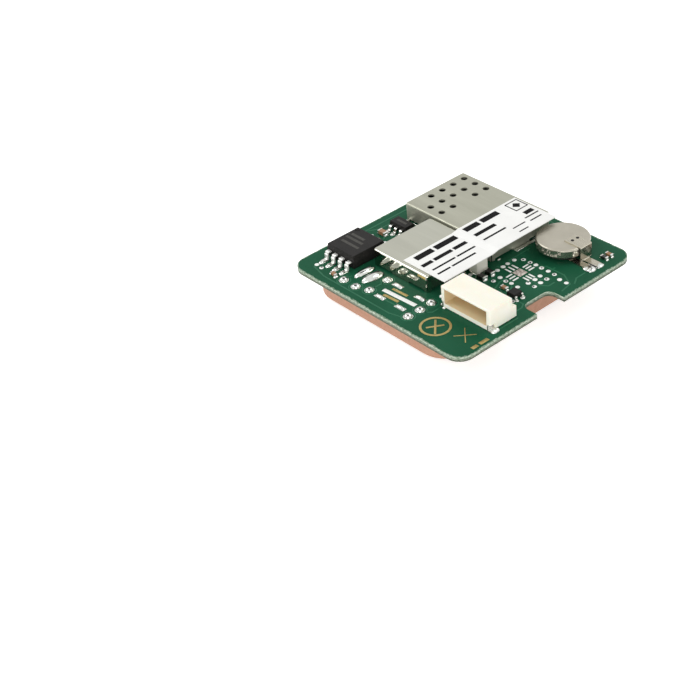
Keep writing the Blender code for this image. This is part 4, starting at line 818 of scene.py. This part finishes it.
# print on the label: bars in place of the lines, an outlined square and a block
labelPrint = {
    "paper": 0.12, "stepY": 1, "thick": 0.014, "rise": 0.006, "edge": 0.006,
    "bars": [
        # middle x, from y, to y, width; the paper steps down in front of stepY
        (-1.25, -6.3, -3.4, 0.95), (-1.25, -3.0, 0.6, 0.95), (-1.25, 2.1, 4.6, 0.95), (-1.25, 5.0, 8.0, 0.95),
        (0.55, -6.9, -5.2, 0.62), (0.55, -4.9, -1.9, 0.62), (0.55, -1.6, 0.6, 0.62), (0.55, 2.1, 5.7, 0.62),
        (2.05, -6.6, -2.8, 0.3), (2.05, -2.5, 0.6, 0.3), (2.05, 2.1, 6.0, 0.3),
        (3.15, -6.8, -4.7, 0.3), (3.15, -4.4, -0.4, 0.3),
        (2.9, 6.4, 8.6, 0.2), (4.0, 6.4, 8.0, 0.2), (2.3, 9.2, 11.6, 0.22), (3.2, 9.2, 11.2, 0.22),
        (1.45, 10.0, 11.5, 0.75)],
    # x, y, length, width, turn
    "square": [(-0.72, 9.8, 2.1, 0.16, 0), (-0.72, 11.8, 2.1, 0.16, 0), (-1.72, 10.8, 2.1, 0.16, 90),
               (0.28, 10.8, 2.1, 0.16, 90), (-0.72, 10.8, 0.9, 0.9, 45)]}
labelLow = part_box("frontend_can")[1].z + labelPrint["paper"] * mm  # top of the paper on the front can
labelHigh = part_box("receiver_can")[1].z + labelPrint["paper"] * mm
bm = bmesh.new()
for x, start, end, wide in labelPrint["bars"]:
    level = labelLow if end < labelPrint["stepY"] else labelHigh
    centre, size = (x, (start + end) / 2, labelPrint["rise"]), (end - start, wide, labelPrint["thick"])
    pillow(bm, centre, size, labelPrint["edge"], 90, 1, level)
for x, y, length, wide, turn in labelPrint["square"]:
    centre, size = (x, y, labelPrint["rise"]), (length, wide, labelPrint["thick"])
    pillow(bm, centre, size, labelPrint["edge"], turn, 1, labelHigh)
addPiece("label_print", bm, labelInk)

# grey bars in place of the marking on the memory chip and the regulator, and the memory's dot
chipMarking = {
    "thick": 0.008, "rise": 0.003, "edge": 0.003,
    # x, y, length, width
    "memory": [(-11.1, -6.95, 2.4, 0.42), (-10.9, -7.75, 3.1, 0.42), (-10.6, -8.75, 3.2, 0.42)],
    "memoryDot": (-12.6, -7.15, 0.16, 0.007), "regulator": [(-10.65, 0.1, 1.7, 0.4)]}
for chip in ("memory", "regulator"):
    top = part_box(chip + "_chip")[1].z
    bm = bmesh.new()
    for x, y, length, wide in chipMarking[chip]:
        centre, size = (x, y, chipMarking["rise"]), (length, wide, chipMarking["thick"])
        pillow(bm, centre, size, chipMarking["edge"], 0, 1, top)
    if chip == "memory":
        disc(bm, *chipMarking["memoryDot"], top)
    addPiece(chip + "_marking", bm, markingInk)

# two spot welds on the cell's upper tab
spotWelds = {
    "places": [(9.5, 9.93), (9.55, 10.79)], "ring": (0.16, 0.1, 0.02), "pit": (0.1, 0.006), "detail": 12}
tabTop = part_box("cell_upper_tab")[1].z
bm = bmesh.new()
for x, y in spotWelds["places"]:
    ring(bm, x, y, *spotWelds["ring"], tabTop)
    disc(bm, x, y, *spotWelds["pit"], tabTop, spotWelds["detail"])
addPiece("cell_spot_welds", bm, weldOxide)
print("print, marking and welds are on their parts")

# underneath: copper test points along two edges, one of them tinned, and two square ones
testPoints = {
    "places": [(13.63, 9.82), (13.63, 7.28), (13.63, 4.72), (13.63, -4.66), (13.63, -7.19), (13.63, -9.81),
               (13.63, -12.38), (6.37, 13.88)],
    "tinnedPlace": (-13.09, 13.86), "radius": 0.55, "thick": 0.03, "detail": 28,
    "squares": [(-1.36, 13.79, -0.01), (1.64, 13.84, -0.01)], "square": (1.0, 0.9, 0.04), "squareEdge": 0.018}
pointLevel = boardLow - testPoints["thick"] * mm
bm = bmesh.new()
for x, y in testPoints["places"]:
    disc(bm, x, y, testPoints["radius"], testPoints["thick"], pointLevel, testPoints["detail"])
for centre in testPoints["squares"]:
    pillow(bm, centre, testPoints["square"], testPoints["squareEdge"], 0, 2, boardLow)
addPiece("under_test_points", bm, bareCopper)

# tinned pads of the parts underneath, three vias, and the solder at the lamp's ends
underPads = {
    "places": [(-7.85, 14.26), (-6.82, 14.25), (-6.0, 14.36), (-5.99, 13.45), (-4.43, 13.95), (-4.41, 13.46),
               (-4.43, 14.47), (-3.65, 14.51), (-2.62, 14.5), (4.03, 14.09), (4.62, 13.79)],
    "size": (0.42, 0.36, 0.05), "rise": -0.01, "edge": 0.02,
    "vias": [(10.4, -5.35), (10.35, -1.13), (10.46, 6.18)], "viaRadius": 0.2, "viaDetail": 16,
    "lampInset": 0.1, "lampBead": (0.22, 0.4, 0.24)}
bm = bmesh.new()
x, y = testPoints["tinnedPlace"]
disc(bm, x, y, testPoints["radius"], testPoints["thick"], pointLevel, testPoints["detail"])
for x, y in underPads["places"]:
    pillow(bm, (x, y, underPads["rise"]), underPads["size"], underPads["edge"], 0, 2, boardLow)
for x, y in underPads["vias"]:
    disc(bm, x, y, underPads["viaRadius"], testPoints["thick"], pointLevel, underPads["viaDetail"])
lampLow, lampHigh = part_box("signal_lamp")
for x in (lampLow.x / mm + underPads["lampInset"], lampHigh.x / mm - underPads["lampInset"]):
    dome(bm, x, (lampLow.y + lampHigh.y) / 2 / mm, *underPads["lampBead"], 0, boardLow)
addPiece("under_pads", bm, reflowedSolder)

# a plain arc of legend round the block's corner, and the tracks between the test points
underArc = {"x": 6.2, "y": -8.5, "radius": 4.35, "wide": 0.16, "thick": 0.02, "start": -75, "sweep": 62}
bm = bmesh.new()
arc = [underArc[key] for key in ("x", "y", "radius", "wide", "thick")]
ring(bm, *arc, boardLow - underArc["thick"] * mm, underArc["start"], underArc["sweep"])
addPiece("under_legend", bm, legendInk)
underTracks = [
    [(13.63, 9.2), (13.63, 7.9)], [(13.63, 6.6), (13.63, 5.3)], [(13.63, -5.3), (13.63, -6.5)],
    [(13.63, -7.8), (13.63, -9.1)], [(12.0, 6.1), (10.9, 6.1)], [(12.2, -1.2), (10.8, -1.2)],
    [(7.1, 13.9), (8.9, 13.5)], [(-8.6, 14.2), (-12.3, 13.9)], [(-0.8, 13.9), (1.0, 13.9)]]
bm = bmesh.new()
for points in underTracks:
    track(bm, points, level=boardLow - tracks["thick"] * mm)
addPiece("under_tracks", bm, maskedCopper)
print("the underside has its pads")
